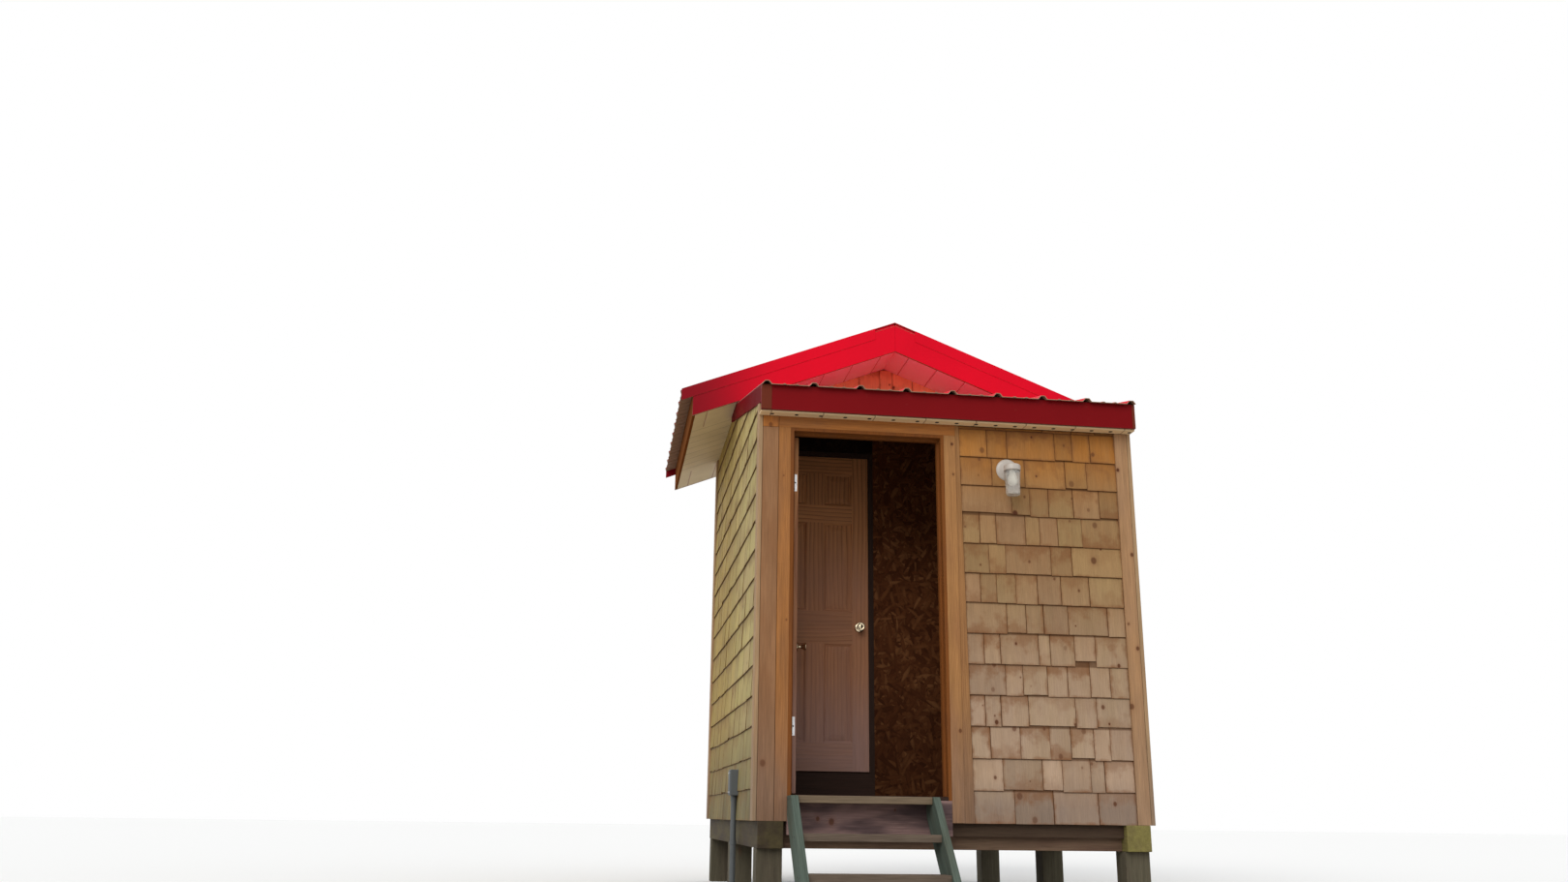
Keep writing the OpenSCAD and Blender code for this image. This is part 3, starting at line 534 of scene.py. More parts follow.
def soffit_paint(name, axis, pitch, line, bright=(0.88, 0.72, 0.47), dull=(0.72, 0.57, 0.35),
                 middle=None):
    """Painted soffit sheet with a seam every pitch; middle is a painted-light colour by the ridge.
    """
    g = Material(name)
    place = g.object_place()
    parts = g.split(place)
    wave = g.size(g.math("FRACT", parts[axis] / pitch) - 0.5)
    groove = g.spread(wave, 0.0, 0.006 / pitch, 1.0, 0.0, smooth=True)
    cloud = g.noise(place, 3.0, 4.0, 0.6)
    colour = g.mix(g.spread(cloud, 0.35, 0.7, 0.0, 0.8), bright, dull)
    # Painted light: a paler, pinker colour near the ridge, where red light bounces up from the
    # lean-to's roof.
    if middle:
        near = g.spread(g.size(parts[0]), 1.18, 0.95, smooth=True)
        colour = g.mix(near, colour, middle)
    g.surface(g.mix(groove * 0.75, colour, line), 0.6, 0.1)
    g.bump(1.0 - groove, 0.004, 0.8)
    return g.owner


def metal(name, colour, roughness, brushed=False):
    """Bare or plated metal with fine wear."""
    g = Material(name)
    place = g.object_place()
    wear = g.noise(place, 55.0, 5.0, 0.65)
    g.set("Metallic", 1.0)
    g.surface(g.mix(g.spread(wear, 0.45, 0.8, 0.0, 0.5), colour, scaled(colour, 0.55)),
              g.spread(wear, 0.3, 0.75, roughness, roughness + 0.22))
    if brushed:
        g.bump(g.noise(place, (900.0, 900.0, 40.0)), 0.0003, 0.5)
    else:
        g.bump(wear, 0.0002, 0.3)
    return g.owner


def plastic(name, colour, roughness, spots=0.08):
    """Moulded plastic with a fine texture and a little grime."""
    g = Material(name)
    place = g.object_place()
    grime = g.noise(place, 14.0, 5.0, 0.65)
    g.surface(g.mix(g.spread(grime, 0.5, 0.8, 0.0, spots * 4.0), colour, scaled(colour, 0.62)),
              g.spread(grime, 0.3, 0.7, roughness, roughness + 0.15))
    g.bump(g.noise(place, 420.0), 0.0003, 0.35)
    return g.owner


def clear_glass(name):
    """Pressed glass, slightly wavy."""
    g = Material(name)
    g.surface((0.93, 0.92, 0.88), 0.26)
    g.set("IOR", 1.3)
    g.set("Transmission Weight", 0.82)
    g.bump(g.noise(g.object_place(), 30.0, 1.0), 0.0002, 0.1)
    return g.owner


SHINGLE = dict(ring=0.0085, contrast=0.35, fibre=0.12, knots=0.0, blush_share=0.16, marks=True)
TRIM = dict(ring=0.0095)
ROUGH = dict(contrast=0.5, blush_share=0.35, roughness=0.75, depth=0.0014)

# Woods: the colour of early and of late wood, and the rest
WOODS = {
    "front_shingle": ((0.345, 0.207, 0.092), (0.26, 0.14, 0.058), dict(
        SHINGLE, tones=(0.82, 1.14), pink=(0.365, 0.212, 0.108), sallow=(0.35, 0.222, 0.096),
        blush=(0.31, 0.155, 0.068), stain_and_shade=(0.72, (0.215, 0.086, 0.031)),
        end_grain_and_shade=(0.2, 0.08, 0.028),
        # Fades: greyer lower down and the lowest course darker, dirt splash and painted shade; the
        # top courses orange, painted red light and shade under the roof.
        fades=((2, 2.0, 0.9, (0.475, 0.35, 0.262), 0.66),
               (2, 0.72, 0.5, (0.21, 0.158, 0.13), 0.6),
               (2, 2.15, 2.6, (0.41, 0.158, 0.026), 0.82)))),
    # The gable's cedar shingles are coloured bright orange-red: painted red light bounced from the
    # lean-to's roof.
    "gable_shingle": ((0.95, 0.4, 0.2), (0.76, 0.28, 0.12), dict(
        SHINGLE, tones=(0.84, 1.12), blush=(0.74, 0.27, 0.12), stain_and_shade=(0.6, (0.3, 0.09, 0.03)),
        end_grain_and_shade=(0.25, 0.07, 0.025))),
    "side_shingle": ((0.5, 0.4, 0.165), (0.39, 0.295, 0.105), dict(
        SHINGLE, tones=(0.86, 1.12), pink=(0.47, 0.36, 0.16), sallow=(0.49, 0.405, 0.155),
        blush=(0.43, 0.3, 0.11), stain_and_shade=(0.6, (0.21, 0.105, 0.03)),
        end_grain_and_shade=(0.13, 0.062, 0.018),
        # Fades: orange-olive towards the back, painted shade under the eaves; darker low down,
        # painted shade near the ground and dirt.
        fades=((1, -1.0, 0.7, (0.37, 0.235, 0.042), 0.72),
               (2, 1.25, 0.45, (0.11, 0.092, 0.048), 0.8)))),
    "cedar_trim": ((0.385, 0.19, 0.07), (0.26, 0.108, 0.036), dict(
        TRIM, fibre=0.2, knots=0.1, tones=(0.8, 1.16), pink=(0.325, 0.165, 0.085),
        sallow=(0.44, 0.138, 0.022), blush=(0.27, 0.12, 0.05), blush_share=0.3,
        # Fades: darker low down, painted shade near the ground; paler towards the right end.
        spots=TRIM_KNOTS, fades=((2, 1.3, 0.45, (0.205, 0.135, 0.1), 0.68),
                                 (0, 0.5, 1.03, (0.4, 0.255, 0.148), 0.5)))),
    "pale_trim": ((0.43, 0.28, 0.155), (0.32, 0.19, 0.092), dict(
        TRIM, contrast=0.5, fibre=0.18, knots=0.08, tones=(0.9, 1.1), blush=(0.34, 0.19, 0.1),
        # The fade: darker low down, painted shade near the ground.
        blush_share=0.2, fades=((2, 1.1, 0.45, (0.205, 0.15, 0.115), 0.6),))),
    "jamb_wood": ((0.215, 0.07, 0.014), (0.13, 0.04, 0.009), dict(
        TRIM, contrast=0.55, fibre=0.2, knots=0.1, tones=(0.84, 1.14), blush=(0.14, 0.05, 0.02))),
    "pine": ((0.58, 0.26, 0.105), (0.32, 0.115, 0.042), dict(
        ring=0.027, contrast=0.9, fibre=0.12, knots=0.0, tones=(0.8, 1.12),
        blush=(0.36, 0.16, 0.08), blush_share=0.15, roughness=0.5, depth=0.0003,
        # Fades: redder and lighter at the top, greyer lower down: painted light on the doors.
        fades=((2, 2.35, 1.9, (0.4, 0.195, 0.125), 0.6),
               (2, 1.5, 0.85, (0.36, 0.245, 0.235), 0.6)))),
    "framing": ((0.52, 0.36, 0.19), (0.38, 0.23, 0.11), dict(ring=0.008, knots=0.3)),
    "floor_board": ((0.2, 0.13, 0.085), (0.13, 0.08, 0.05), dict(
        ring=0.007, blush=(0.14, 0.08, 0.05))),
    # Nearly black wood for the inner frame, the threshold and the partition's sill: painted shade
    # of the doorway and the room behind it.
    "dark_board": ((0.045, 0.024, 0.017), (0.028, 0.014, 0.01), dict(
        knots=0.1, blush=(0.04, 0.02, 0.015))),
    "tread": ((0.205, 0.155, 0.115), (0.12, 0.085, 0.062), dict(
        contrast=0.65, fibre=0.3, knots=0.14, blush=(0.15, 0.105, 0.08), blush_share=0.3,
        roughness=0.78, depth=0.0016, fades=((2, 0.42, 0.55, (0.165, 0.12, 0.072), 0.7),))),
    "cross_board": ((0.125, 0.08, 0.052), (0.075, 0.045, 0.03), dict(
        fibre=0.28, knots=0.2, tones=(0.6, 1.35), blush=(0.09, 0.05, 0.035), blush_share=0.3,
        roughness=0.78, depth=0.0014)),
    "apron": ((0.36, 0.225, 0.205), (0.21, 0.125, 0.112), dict(
        ring=0.007, contrast=0.65, knots=0.0, blush=(0.075, 0.05, 0.055), blush_share=0.42,
        roughness=0.75, depth=0.0012, spots=APRON_KNOTS)),
    "treated": ((0.11, 0.142, 0.116), (0.062, 0.084, 0.066), dict(
        ROUGH, ring=0.007, fibre=0.28, knots=0.2, knot=(0.04, 0.028, 0.02),
        blush=(0.09, 0.095, 0.07))),
    "skid": ((0.245, 0.21, 0.068), (0.15, 0.125, 0.042), dict(
        ROUGH, knots=0.15, blush=(0.17, 0.13, 0.06),
        # The fade: darker towards the left end, painted shade.
        fades=((0, 0.0, -0.9, (0.048, 0.034, 0.024), 0.92),))),
    "post": ((0.12, 0.105, 0.07), (0.07, 0.06, 0.04), dict(
        ROUGH, knots=0.15, blush=(0.09, 0.07, 0.05))),
}
MATERIALS = {name: wood(name, early, late, **rest) for name, (early, late, rest) in WOODS.items()}
# Everything else: how it is made, its name and what the maker takes
for make, label, values, rest in (
        (strand_board, "strand_board", [((0.06, 0.016, 0.005), (0.105, 0.031, 0.01),
                                         (0.14, 0.047, 0.015), (0.22, 0.09, 0.033))], {}),
        # Nearly black strand board for the partition's header: painted shade under the lean-to's
        # ceiling.
        (strand_board, "dark_strand", [((0.006, 0.003, 0.002), (0.01, 0.005, 0.003),
                                        (0.015, 0.007, 0.004), (0.022, 0.011, 0.006))], {}),
        # The red paint darkens towards its left end: painted shade.
        (paint, "red_paint", [(0.78, 0.002, 0.022)],
         dict(under=(0.42, 0.27, 0.18), end=(-0.75, -1.5, (0.2, 0.006, 0.012), 0.88))),
        # The lean-to's fascia in the roof's red paint, darkened: painted shade.
        (paint, "dark_red_paint", [(0.215, 0.003, 0.0055)], dict(under=(0.15, 0.05, 0.035))),
        (paint, "brown_red_paint", [(0.24, 0.085, 0.028)], dict(dust_share=0.3, gloss=0.0)),
        (paint, "trim_red_paint", [(0.16, 0.006, 0.009)],
         dict(dust=(0.2, 0.09, 0.04), dust_share=0.5, gloss=0.01)),
        (paint, "end_brown_paint", [(0.16, 0.03, 0.014)],
         dict(dust=(0.32, 0.13, 0.05), dust_share=0.8)),
        (soffit_paint, "eave_soffit", [1, 0.155, (0.32, 0.23, 0.13)], {}),
        # Pinker near the ridge: painted red light from the lean-to's roof.
        (soffit_paint, "gable_soffit", [0, 0.205, (0.45, 0.16, 0.14)],
         dict(middle=(0.98, 0.84, 0.93))),
        (soffit_paint, "strip_soffit", [0, 0.305, (0.36, 0.2, 0.12)],
         dict(bright=(0.98, 0.76, 0.46), dull=(0.9, 0.62, 0.34))),
        (metal, "zinc", [(0.86, 0.87, 0.88), 0.34], dict(brushed=True)),
        (metal, "dark_steel", [(0.07, 0.065, 0.06), 0.45], {}),
        (metal, "knob_metal", [(0.66, 0.54, 0.37), 0.08], {}),
        (plastic, "white_plastic", [(0.54, 0.485, 0.43), 0.28], {}),
        (plastic, "grey_plastic", [(0.085, 0.094, 0.098), 0.5, 0.12], {}),
        # Nearly black discs for the soffit's vent holes: painted shade.
        (plastic, "dark_hole", [(0.012, 0.007, 0.006), 0.8], {}),
        (plastic, "bulb", [(0.8, 0.76, 0.68), 0.35, 0.02], {}),
        (clear_glass, "glass", [], {})):
    MATERIALS[label] = make(label, *values, **rest)

# The CAD nodes that stay as they are, by material
PAINTED = {
    "red_paint": ("main_roofing", "shed_roofing", "ridge_cap", "gable_trims", "rake_boards"),
    "dark_red_paint": ("shed_fascia",), "brown_red_paint": ("eave_fascias",),
    "trim_red_paint": ("shed_side_trims",), "eave_soffit": ("eave_soffits",),
    "gable_soffit": ("gable_soffits",), "strip_soffit": ("shed_soffit",),
    "dark_strand": ("partition_header",), "glass": ("light_jar",),
    "zinc": ("outer_door_hinges", "inner_door_hinges", "frame_hinges"),
    "strand_board": ("front_wall_left", "front_wall_right", "front_wall_header", "left_wall",
                     "right_wall", "back_wall", "gable_wall", "partition")}


# Mesh tools

def in_scene(name, data):
    made = bpy.data.objects.new(name, data)
    bpy.context.scene.collection.objects.link(made)
    return made


def mesh_object(name, bm, material, smooth=False):
    """Turns a bmesh into an object of the scene."""
    mesh = bpy.data.meshes.new(name)
    bm.normal_update()
    bm.to_mesh(mesh)
    bm.free()
    mesh.materials.append(material)
    if smooth:
        mesh.polygons.foreach_set("use_smooth", [True] * len(mesh.polygons))
    return in_scene(name, mesh)


def new_piece(name, bm, material, body="building", smooth=False, replaces=(), outward=False):
    """A piece that rides on a body; outward turns all its faces to the outside."""
    if outward:
        bmesh.ops.recalc_face_normals(bm, faces=bm.faces)
    piece = mesh_object(name, bm, MATERIALS[material], smooth)
    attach(piece, body)
    if replaces:
        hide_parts(*replaces)


def layer(bm, name, vector=False):
    """An attribute of a bmesh's face corners, made if it isn't there yet."""
    kind = bm.loops.layers.float_vector if vector else bm.loops.layers.float
    return kind.get(name) or kind.new(name)


def layers(bm):
    """The attributes that all woods read: the grain's place, the tone and the hue."""
    return layer(bm, "grain", True), layer(bm, "tone"), layer(bm, "hue")


def board_mesh():
    bm = bmesh.new()
    layers(bm)
    return bm


def random_offset(source=rng):
    return Vector([source.uniform(-40.0, 40.0) for _ in range(3)])


def mark_grain(bm, faces, along, shift, tone_value, hue_value=None):
    """Writes the grain's place, a tone and a hue on faces whose grain runs along a direction."""
    grain, tone, hue = layers(bm)
    if hue_value is None:
        hue_value = math.sin(shift.x * 7.0)
    along = along.normalized()
    across = along.cross(-OUT if abs(along.y) < 0.7 else SIDE).normalized()
    through = across.cross(along).normalized()
    for face in faces:
        for loop in face.loops:
            p = loop.vert.co
            loop[grain] = Vector((p.dot(across), p.dot(along), p.dot(through))) + shift
            loop[tone] = tone_value
            loop[hue] = hue_value


def edges_of(faces):
    """The edges of some faces, each once, in the order of the faces."""
    return list(dict.fromkeys(edge for face in faces for edge in face.edges))


def ease(bm, edges, offset, segments=2, clamp=False):
    """Rounds some edges."""
    bmesh.ops.bevel(bm, geom=edges, offset=offset, segments=segments, profile=0.6,
                    affect="EDGES", clamp_overlap=clamp)


def islands(bm):
    """The separate solids of a bmesh, as lists of faces."""
    left = dict.fromkeys(bm.faces)
    found = []
    while left:
        group = [next(iter(left))]
        del left[group[0]]
        for face in group:
            for other in [f for edge in face.edges for f in edge.link_faces]:
                if other in left:
                    del left[other]
                    group.append(other)
        found.append(group)
    return found


def clean_copy(node):
    """A bmesh of a CAD node with its vertices joined and its flat faces whole."""
    bm = bmesh.new()
    bm.from_mesh(frame["nodes"][node].data)
    bmesh.ops.remove_doubles(bm, verts=bm.verts, dist=1e-5)
    bmesh.ops.dissolve_limit(bm, angle_limit=0.01, verts=bm.verts, edges=bm.edges)
    layers(bm)
    return bm


def longest_edge(faces):
    best = max(edges_of(faces), key=lambda edge: edge.calc_length())
    return (best.verts[1].co - best.verts[0].co).normalized()


def dressed(node, material, bevel, grain_of=None, look=None):
    """A wooden CAD node with eased edges, where each board has its own run of grain and tone.
    look takes a board's middle and gives its tone and hue; grain_of takes a face's middle."""
    bm = clean_copy(node)
    for group, along in [(group, longest_edge(group)) for group in islands(bm)]:
        shift, value = random_offset(), (rng.uniform(-1.0, 1.0),)
        if look:
            value = look(sum((face.calc_center_median() for face in group), Vector()) / len(group))
        if grain_of is None:
            mark_grain(bm, group, along, shift, *value)
            continue
        for face in group:
            chosen = grain_of(face.calc_center_median())
            mark_grain(bm, [face], chosen, shift + chosen * 7.0, *value)
    sharp = [e for e in bm.edges if len(e.link_faces) == 2 and e.calc_face_angle(0.0) > 0.5]
    ease(bm, sharp, bevel, clamp=True)
    new_piece(f"{node}_wood", bm, material, replaces=(node,))


def circle(bm, centre, side, other, radius, steps):
    points = []
    for i in range(steps):
        angle = 2 * math.pi * i / steps
        points.append(centre + (side * math.cos(angle) + other * math.sin(angle)) * radius)
    return [bm.verts.new(point) for point in points]


def lathe(bm, profile, place, axis, steps=32):
    """A turned shape: profile holds (radius, distance along the axis) from end to end."""
    place, axis = Vector(place), axis.normalized()
    side = axis.orthogonal().normalized()
    other = axis.cross(side)
    rows = []
    for radius, distance in profile:
        centre = place + axis * distance
        rows.append(circle(bm, centre, side, other, radius, steps) if radius > 1e-6
                    else [bm.verts.new(centre)])
    for low, high in zip(rows, rows[1:]):
        for i in range(steps):
            j = (i + 1) % steps
            if len(low) == 1:
                bm.faces.new((low[0], high[i], high[j]))
            elif len(high) == 1:
                bm.faces.new((low[i], low[j], high[0]))
            else:
                bm.faces.new((low[i], low[j], high[j], high[i]))


def add_box(bm, low, high):
    """A plain block in a bmesh; returns its faces."""
    verts = [bm.verts.new((x, y, z))
             for x in (low[0], high[0]) for y in (low[1], high[1]) for z in (low[2], high[2])]
    quads = ((0, 1, 3, 2), (4, 6, 7, 5), (0, 4, 5, 1), (2, 3, 7, 6), (0, 2, 6, 4), (1, 5, 7, 3))
    return [bm.faces.new([verts[i] for i in quad]) for quad in quads]


def add_board(bm, x0, x1, y0, y1, foot, top, look):
    """An upright board; top gives its height at a place, and look is its tone and hue."""
    places = ((x0, y0), (x1, y0), (x1, y1), (x0, y1))
    low = [bm.verts.new((x, y, foot)) for x, y in places]
    high = [bm.verts.new((x, y, top(x, y))) for x, y in places]
    faces = [bm.faces.new(low[::-1]), bm.faces.new(high)]
    for i in range(4):
        j = (i + 1) % 4
        faces.append(bm.faces.new((low[i], low[j], high[j], high[i])))
    mark_grain(bm, faces, UP, random_offset(), *look)


def screw_head(bm, place, axis, radius=0.0045):
    """A countersunk screw head with a recess, a little proud of its seat."""
    profile = ((radius, 0.0), (radius, 0.4), (radius * 0.8, 1.0), (radius * 0.42, 1.0),
               (radius * 0.3, 0.1), (0.0, 0.05))
    lathe(bm, [(r, share * SCREW_RISE) for r, share in profile], place, axis, 12)


# Shingles

def course_joints(source, u, end, widths):
    """Random joints of one course, from its start to its end."""
    edges = [u]
    while edges[-1] < end - 0.004:
        width = source.uniform(*widths)
        if source.random() > 0.8:
            width = source.uniform(widths[1], widths[1] * 1.3)
        if end - (edges[-1] + width) < widths[0] * 0.8:
            width = end - edges[-1]
        edges.append(min(edges[-1] + width, end))
    return edges


def random_knots(source, u0, u1, z_butt, course):
    return [(source.uniform(u0, u1), z_butt + source.uniform(0.02, course),
             source.uniform(0.005, 0.014), source.uniform(0.4, 0.9))
            for _ in range(2) if source.random() < 0.14]


def shingle_wall(name, to_world, u_low, u_high, base, course, top, material, seed,
                 widths=(0.085, 0.235), joints=(), knots=()):
    """Courses of sawn shingles on a wall. to_world takes (u, z, out); u_low and top are
    functions. joints gives the lowest courses' joints, and knots the knots, where known."""
    source = random.Random(seed)
    bm = board_mesh()
    shingle_layers(bm)
    ends = (u_low(base), 0.5 * (u_low(base) + u_high), u_high)
    height = max(top(u) for u in ends) - base
    for k in range(int(math.ceil(height / course)) + 1):
        z_butt = base + k * course
        if k < len(joints):
            edges = [u_low(z_butt), *(u / 1000 for u in joints[k]), u_high]
        else:
            edges = course_joints(source, u_low(z_butt), u_high, widths)
        for n, (u0, u1) in enumerate(zip(edges, edges[1:])):
            if joints:
                short = SHORT_SHINGLE[2] if (k, n) == SHORT_SHINGLE[:2] else 0.0
                own = [knot for knot in (in_metres(*row) for row in knots)
                       if u0 < knot[0] < u1 and z_butt <= knot[1] < z_butt + course]
            else:
                short, own = 0.0, random_knots(source, u0, u1, z_butt, course)
            add_shingle(bm, to_world, source, (u0, u1), z_butt, course, top, k == 0, own, short)
    new_piece(name, bm, material)


def shingle_grid(source, span, z_butt, course, top, first, short):
    """The front points of one tapered shingle, column by column: across, up and out."""
    gap = SHINGLE_GAP * source.uniform(0.4, 1.6)
    low_u, high_u = span[0] + gap / 2, span[1] - gap / 2
    columns, rows = max(2, int((high_u - low_u) / 0.045)), 4
    if not first:
        short += source.choice((0.0, 0.0, 0.0, 0.0, 0.0, 0.006, 0.012)) * source.random()
    drop = 0.0 if first else source.uniform(-0.0025, 0.0025)
    tilt = source.uniform(-0.01, 0.01)
    proud, cup = source.uniform(-0.0012, 0.0016), source.uniform(-0.0014, 0.0022)
    middle, half = 0.5 * (low_u + high_u), max(1e-4, 0.5 * (high_u - low_u))
    grid = []
    for i in range(columns + 1):
        u = low_u + (high_u - low_u) * i / columns
        bottom = z_butt + drop + short + tilt * (u - middle) + source.uniform(-0.0007, 0.0007)
        limit = max(bottom + 0.002, min(z_butt + course + SHINGLE_LAP, top(u)))
        column = []
        for j in range(rows + 1):
            z = bottom + (limit - bottom) * (j / rows) ** 1.3
            out = BUTT_T * (1.0 - max(0.0, z - z_butt) / SHINGLE_TAPER) + proud * (1 - j / rows)
            out += cup * ((u - middle) / half) ** 2 * (1 - j / rows)
            column.append((u, z, max(out, 0.002)))
        grid.append(column)
    return grid


def shingle_faces(front, back):
    """Corners of a shingle's faces, and 1 for those of its edges."""
    last, rows = len(front) - 1, len(front[0]) - 1
    faces = [((front[i][j], front[i + 1][j], front[i + 1][j + 1], front[i][j + 1]), 0.0)
             for i in range(last) for j in range(rows)]
    faces += [((back[i][0], back[i + 1][0], front[i + 1][0], front[i][0]), 1.0)
              for i in range(last)]
    for j in range(rows):
        faces.append(((back[0][j], front[0][j], front[0][j + 1], back[0][j + 1]), 1.0))
        faces.append(((front[-1][j], back[-1][j], back[-1][j + 1], front[-1][j + 1]), 1.0))
    return faces


def shingle_layers(bm):
    """All the attributes that the shingles' wood reads, by name."""
    found = {name: layer(bm, name, True) for name in ("grain", "edges", "knot_a", "knot_b")}
    for name in ("tone", "hue", "stain", "side", "knot_a_dark", "knot_b_dark"):
        found[name] = layer(bm, name)
    return found


def shingle_marks(found, source, shift, knots):
    """What all corners of one shingle have in common: tone, hue, stain and two knots."""
    marks = {"tone": max(-1.0, min(1.0, source.gauss(0.0, 0.45))),
             "hue": source.uniform(-1.0, 1.0),
             "stain": source.choice((0.2, 0.35, 0.6, 0.9, 1.0, 1.0, -0.4, -0.8))
             * source.uniform(0.7, 1.0)}
    own = sorted(knots, key=lambda knot: -knot[2])[:2]
    own += [(-FAR_AWAY, -FAR_AWAY, 0.01, 0.0)] * (2 - len(own))
    for name, (u, z, radius, dark) in zip(("knot_a", "knot_b"), own):
        marks[name] = Vector((u + shift.x, z + shift.y, radius))
        marks[f"{name}_dark"] = dark
    return [(found[name], value) for name, value in marks.items()]


def add_shingle(bm, to_world, source, span, z_butt, course, top, first, knots, short):
    """One tapered shingle, thick at its butt, cut to the wall's top."""
    grid = shingle_grid(source, span, z_butt, course, top, first, short)
    shift = random_offset(source)
    found = shingle_layers(bm)
    marks = shingle_marks(found, source, shift, knots)
    width = span[1] - span[0]
    if all(top(span[0] + width * t) <= z_butt + 0.004 for t in (0.0, 0.5, 1.0)):
        return
    backs = [[(u, z, 0.0005) for u, z, _ in column] for column in grid]
    local, sides = {}, []
    for points in (grid, backs):
        sides.append([[bm.verts.new(to_world(*p)) for p in column] for column in points])
        for column, verts in zip(points, sides[-1]):
            local.update(zip(verts, column))
    low_u, high_u = grid[0][0][0], grid[-1][0][0]
    for corners, side in shingle_faces(*sides):
        for loop in bm.faces.new(corners).loops:
            u, z, out = local[loop.vert]
            loop[found["grain"]] = Vector((u, z, out)) + shift
            loop[found["edges"]] = (u - low_u, high_u - u, (z - z_butt) / course)
            loop[found["side"]] = side
            for item, value in marks:
                loop[item] = value


def strip_edge(z):
    """The outer edge of the filler board, which tapers towards its top."""
    share = (z - Z_SKIRT) / (HEAD_HIGH.z - Z_SKIRT)
    return CASING_HIGH.x + FILLER_W[0] + (FILLER_W[1] - FILLER_W[0]) * min(1.0, max(0.0, share))


def under_soffit(u):
    return soffit_under(u) - TOP_GAP


def side_top(y):
    """Height of a side wall's top."""
    return band_under(y) - TOP_GAP if y < GABLE_Y else under_soffit(X_FACE)


def dress_walls():
    """Shingles on every outside wall, from the foot to the soffits."""
    shingle_wall("front_shingles", lambda u, z, out: Vector((u, Y_FACE - out, z)), strip_edge,
                 X_BOARD, Z_SKIRT, FRONT_COURSE, lambda u: SOFFIT_LOW.z - TOP_GAP, "front_shingle",
                 11, joints=FRONT_JOINTS, knots=FRONT_KNOTS)
    filler_strip()
    front, back = Y_FRONT + CORNER_W, Y_BACK - CORNER_W
    for name, to_world, low, high, top, seed in (
            ("left_shingles", lambda u, z, out: Vector((-X_FACE - out, -u, z)), -back, -front,
             lambda u: side_top(-u), 12),
            ("right_shingles", lambda u, z, out: Vector((X_FACE + out, u, z)), front, back,
             side_top, 13),
            ("back_shingles", lambda u, z, out: Vector((-u, Y_BACK_FACE + out, z)), -X_BOARD,
             X_BOARD, under_soffit, 14)):
        shingle_wall(name, to_world, lambda z: low, high, Z_SKIRT, SIDE_COURSE, top,
                     "side_shingle", seed, widths=(0.1, 0.25))
    reach = (soffit_under(0.0) - SHED_HIGH.z) / MAIN_SLOPE
    shingle_wall("gable_shingles", lambda u, z, out: Vector((u, GABLE_Y - out, z)),
                 lambda z: -reach, reach, SHED_HIGH.z, SIDE_COURSE, under_soffit,
                 "gable_shingle", 15)


def filler_strip():
    """The tapering filler board between the right casing and the shingles."""
    bm = bmesh.new()
    low, high = Z_SKIRT, SOFFIT_LOW.z - TOP_GAP
    edge = CASING_HIGH.x
    points = ((edge, low), (strip_edge(low), low), (strip_edge(high), high), (edge, high))
    near, far = [[bm.verts.new((x, y, z)) for x, z in points]
                 for y in (Y_FACE - TRIM_T * 0.75, Y_FACE)]
    bm.faces.new(near)
    for i in range(4):
        j = (i + 1) % 4
        bm.faces.new((near[j], near[i], far[i], far[j]))
    mark_grain(bm, list(bm.faces), UP, random_offset(), 0.0, 0.1)
    new_piece("filler_board", bm, "cedar_trim")


# Doors

def door_place(side, body):
    """The pin of a door's joint, with the height of the door's foot, and the joint."""
    joint = next(j for j in frame["joints"] if j["child"] == body)
    pin = Vector(joint["pos_m"])
    pin.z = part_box(f"{side}_door")[0].z
    return pin, joint


def door_transform(side, body):
    """Takes door coordinates (from the hinge edge, from the inner face, up) to the model."""
    pin, joint = door_place(side, body)
    turn = Matrix.Rotation(math.radians(-joint["range_deg"][0]), 4, "Z")
    return Matrix.Translation(pin) @ turn @ Matrix.Translation(FROM_PIN)


def quad(bm, points, along, shift, tone, flip):
    """A face with corners of its own and its grain."""
    face = bm.faces.new([bm.verts.new(p) for p in (points[::-1] if flip else points)])
    mark_grain(bm, [face], along, shift, tone)


def rectangle(u0, u1, z0, z1, y):
    return [Vector(p) for p in ((u0, y, z0), (u1, y, z0), (u1, y, z1), (u0, y, z1))]


def flat(bm, *edges, y, along, flip):
    """A plain part of a door's face."""
    quad(bm, rectangle(*edges, y), along, random_offset(), rng.uniform(-0.6, 0.6), flip)


def panel(bm, u0, u1, z0, z1, y, sign):
    """The moulding and the raised field of one panel, sunk along sign."""
    shift, tone = random_offset(), rng.uniform(-0.7, 0.7)
    stick = random_offset()
    rings = [rectangle(u0 + inset, u1 - inset, z0 + inset, z1 - inset, y + sign * depth)
             for inset, depth in MOULDING]
    for n, (low, high) in enumerate(zip(rings, rings[1:])):
        for i in range(4):
            j = (i + 1) % 4
            along = SIDE if n < STICKING and i % 2 == 0 else UP
            quad(bm, [low[i], low[j], high[j], high[i]], along,
                 stick if n < STICKING else shift, tone, sign < 0)
    quad(bm, rings[-1], UP, shift, tone, sign < 0)


def door_rows(height):
    """Heights of the panels and of the rails, from the foot up."""
    panels = (height - sum(RAILS) - sum(UPPER_PANELS), *UPPER_PANELS)
    z, rows, rails = 0.0, [], []
    for rail, opening in zip(RAILS, panels):
        rails.append((z, z + rail))
        rows.append((z + rail, z + rail + opening))
        z += rail + opening
    return rows, [*rails, (z, height)]


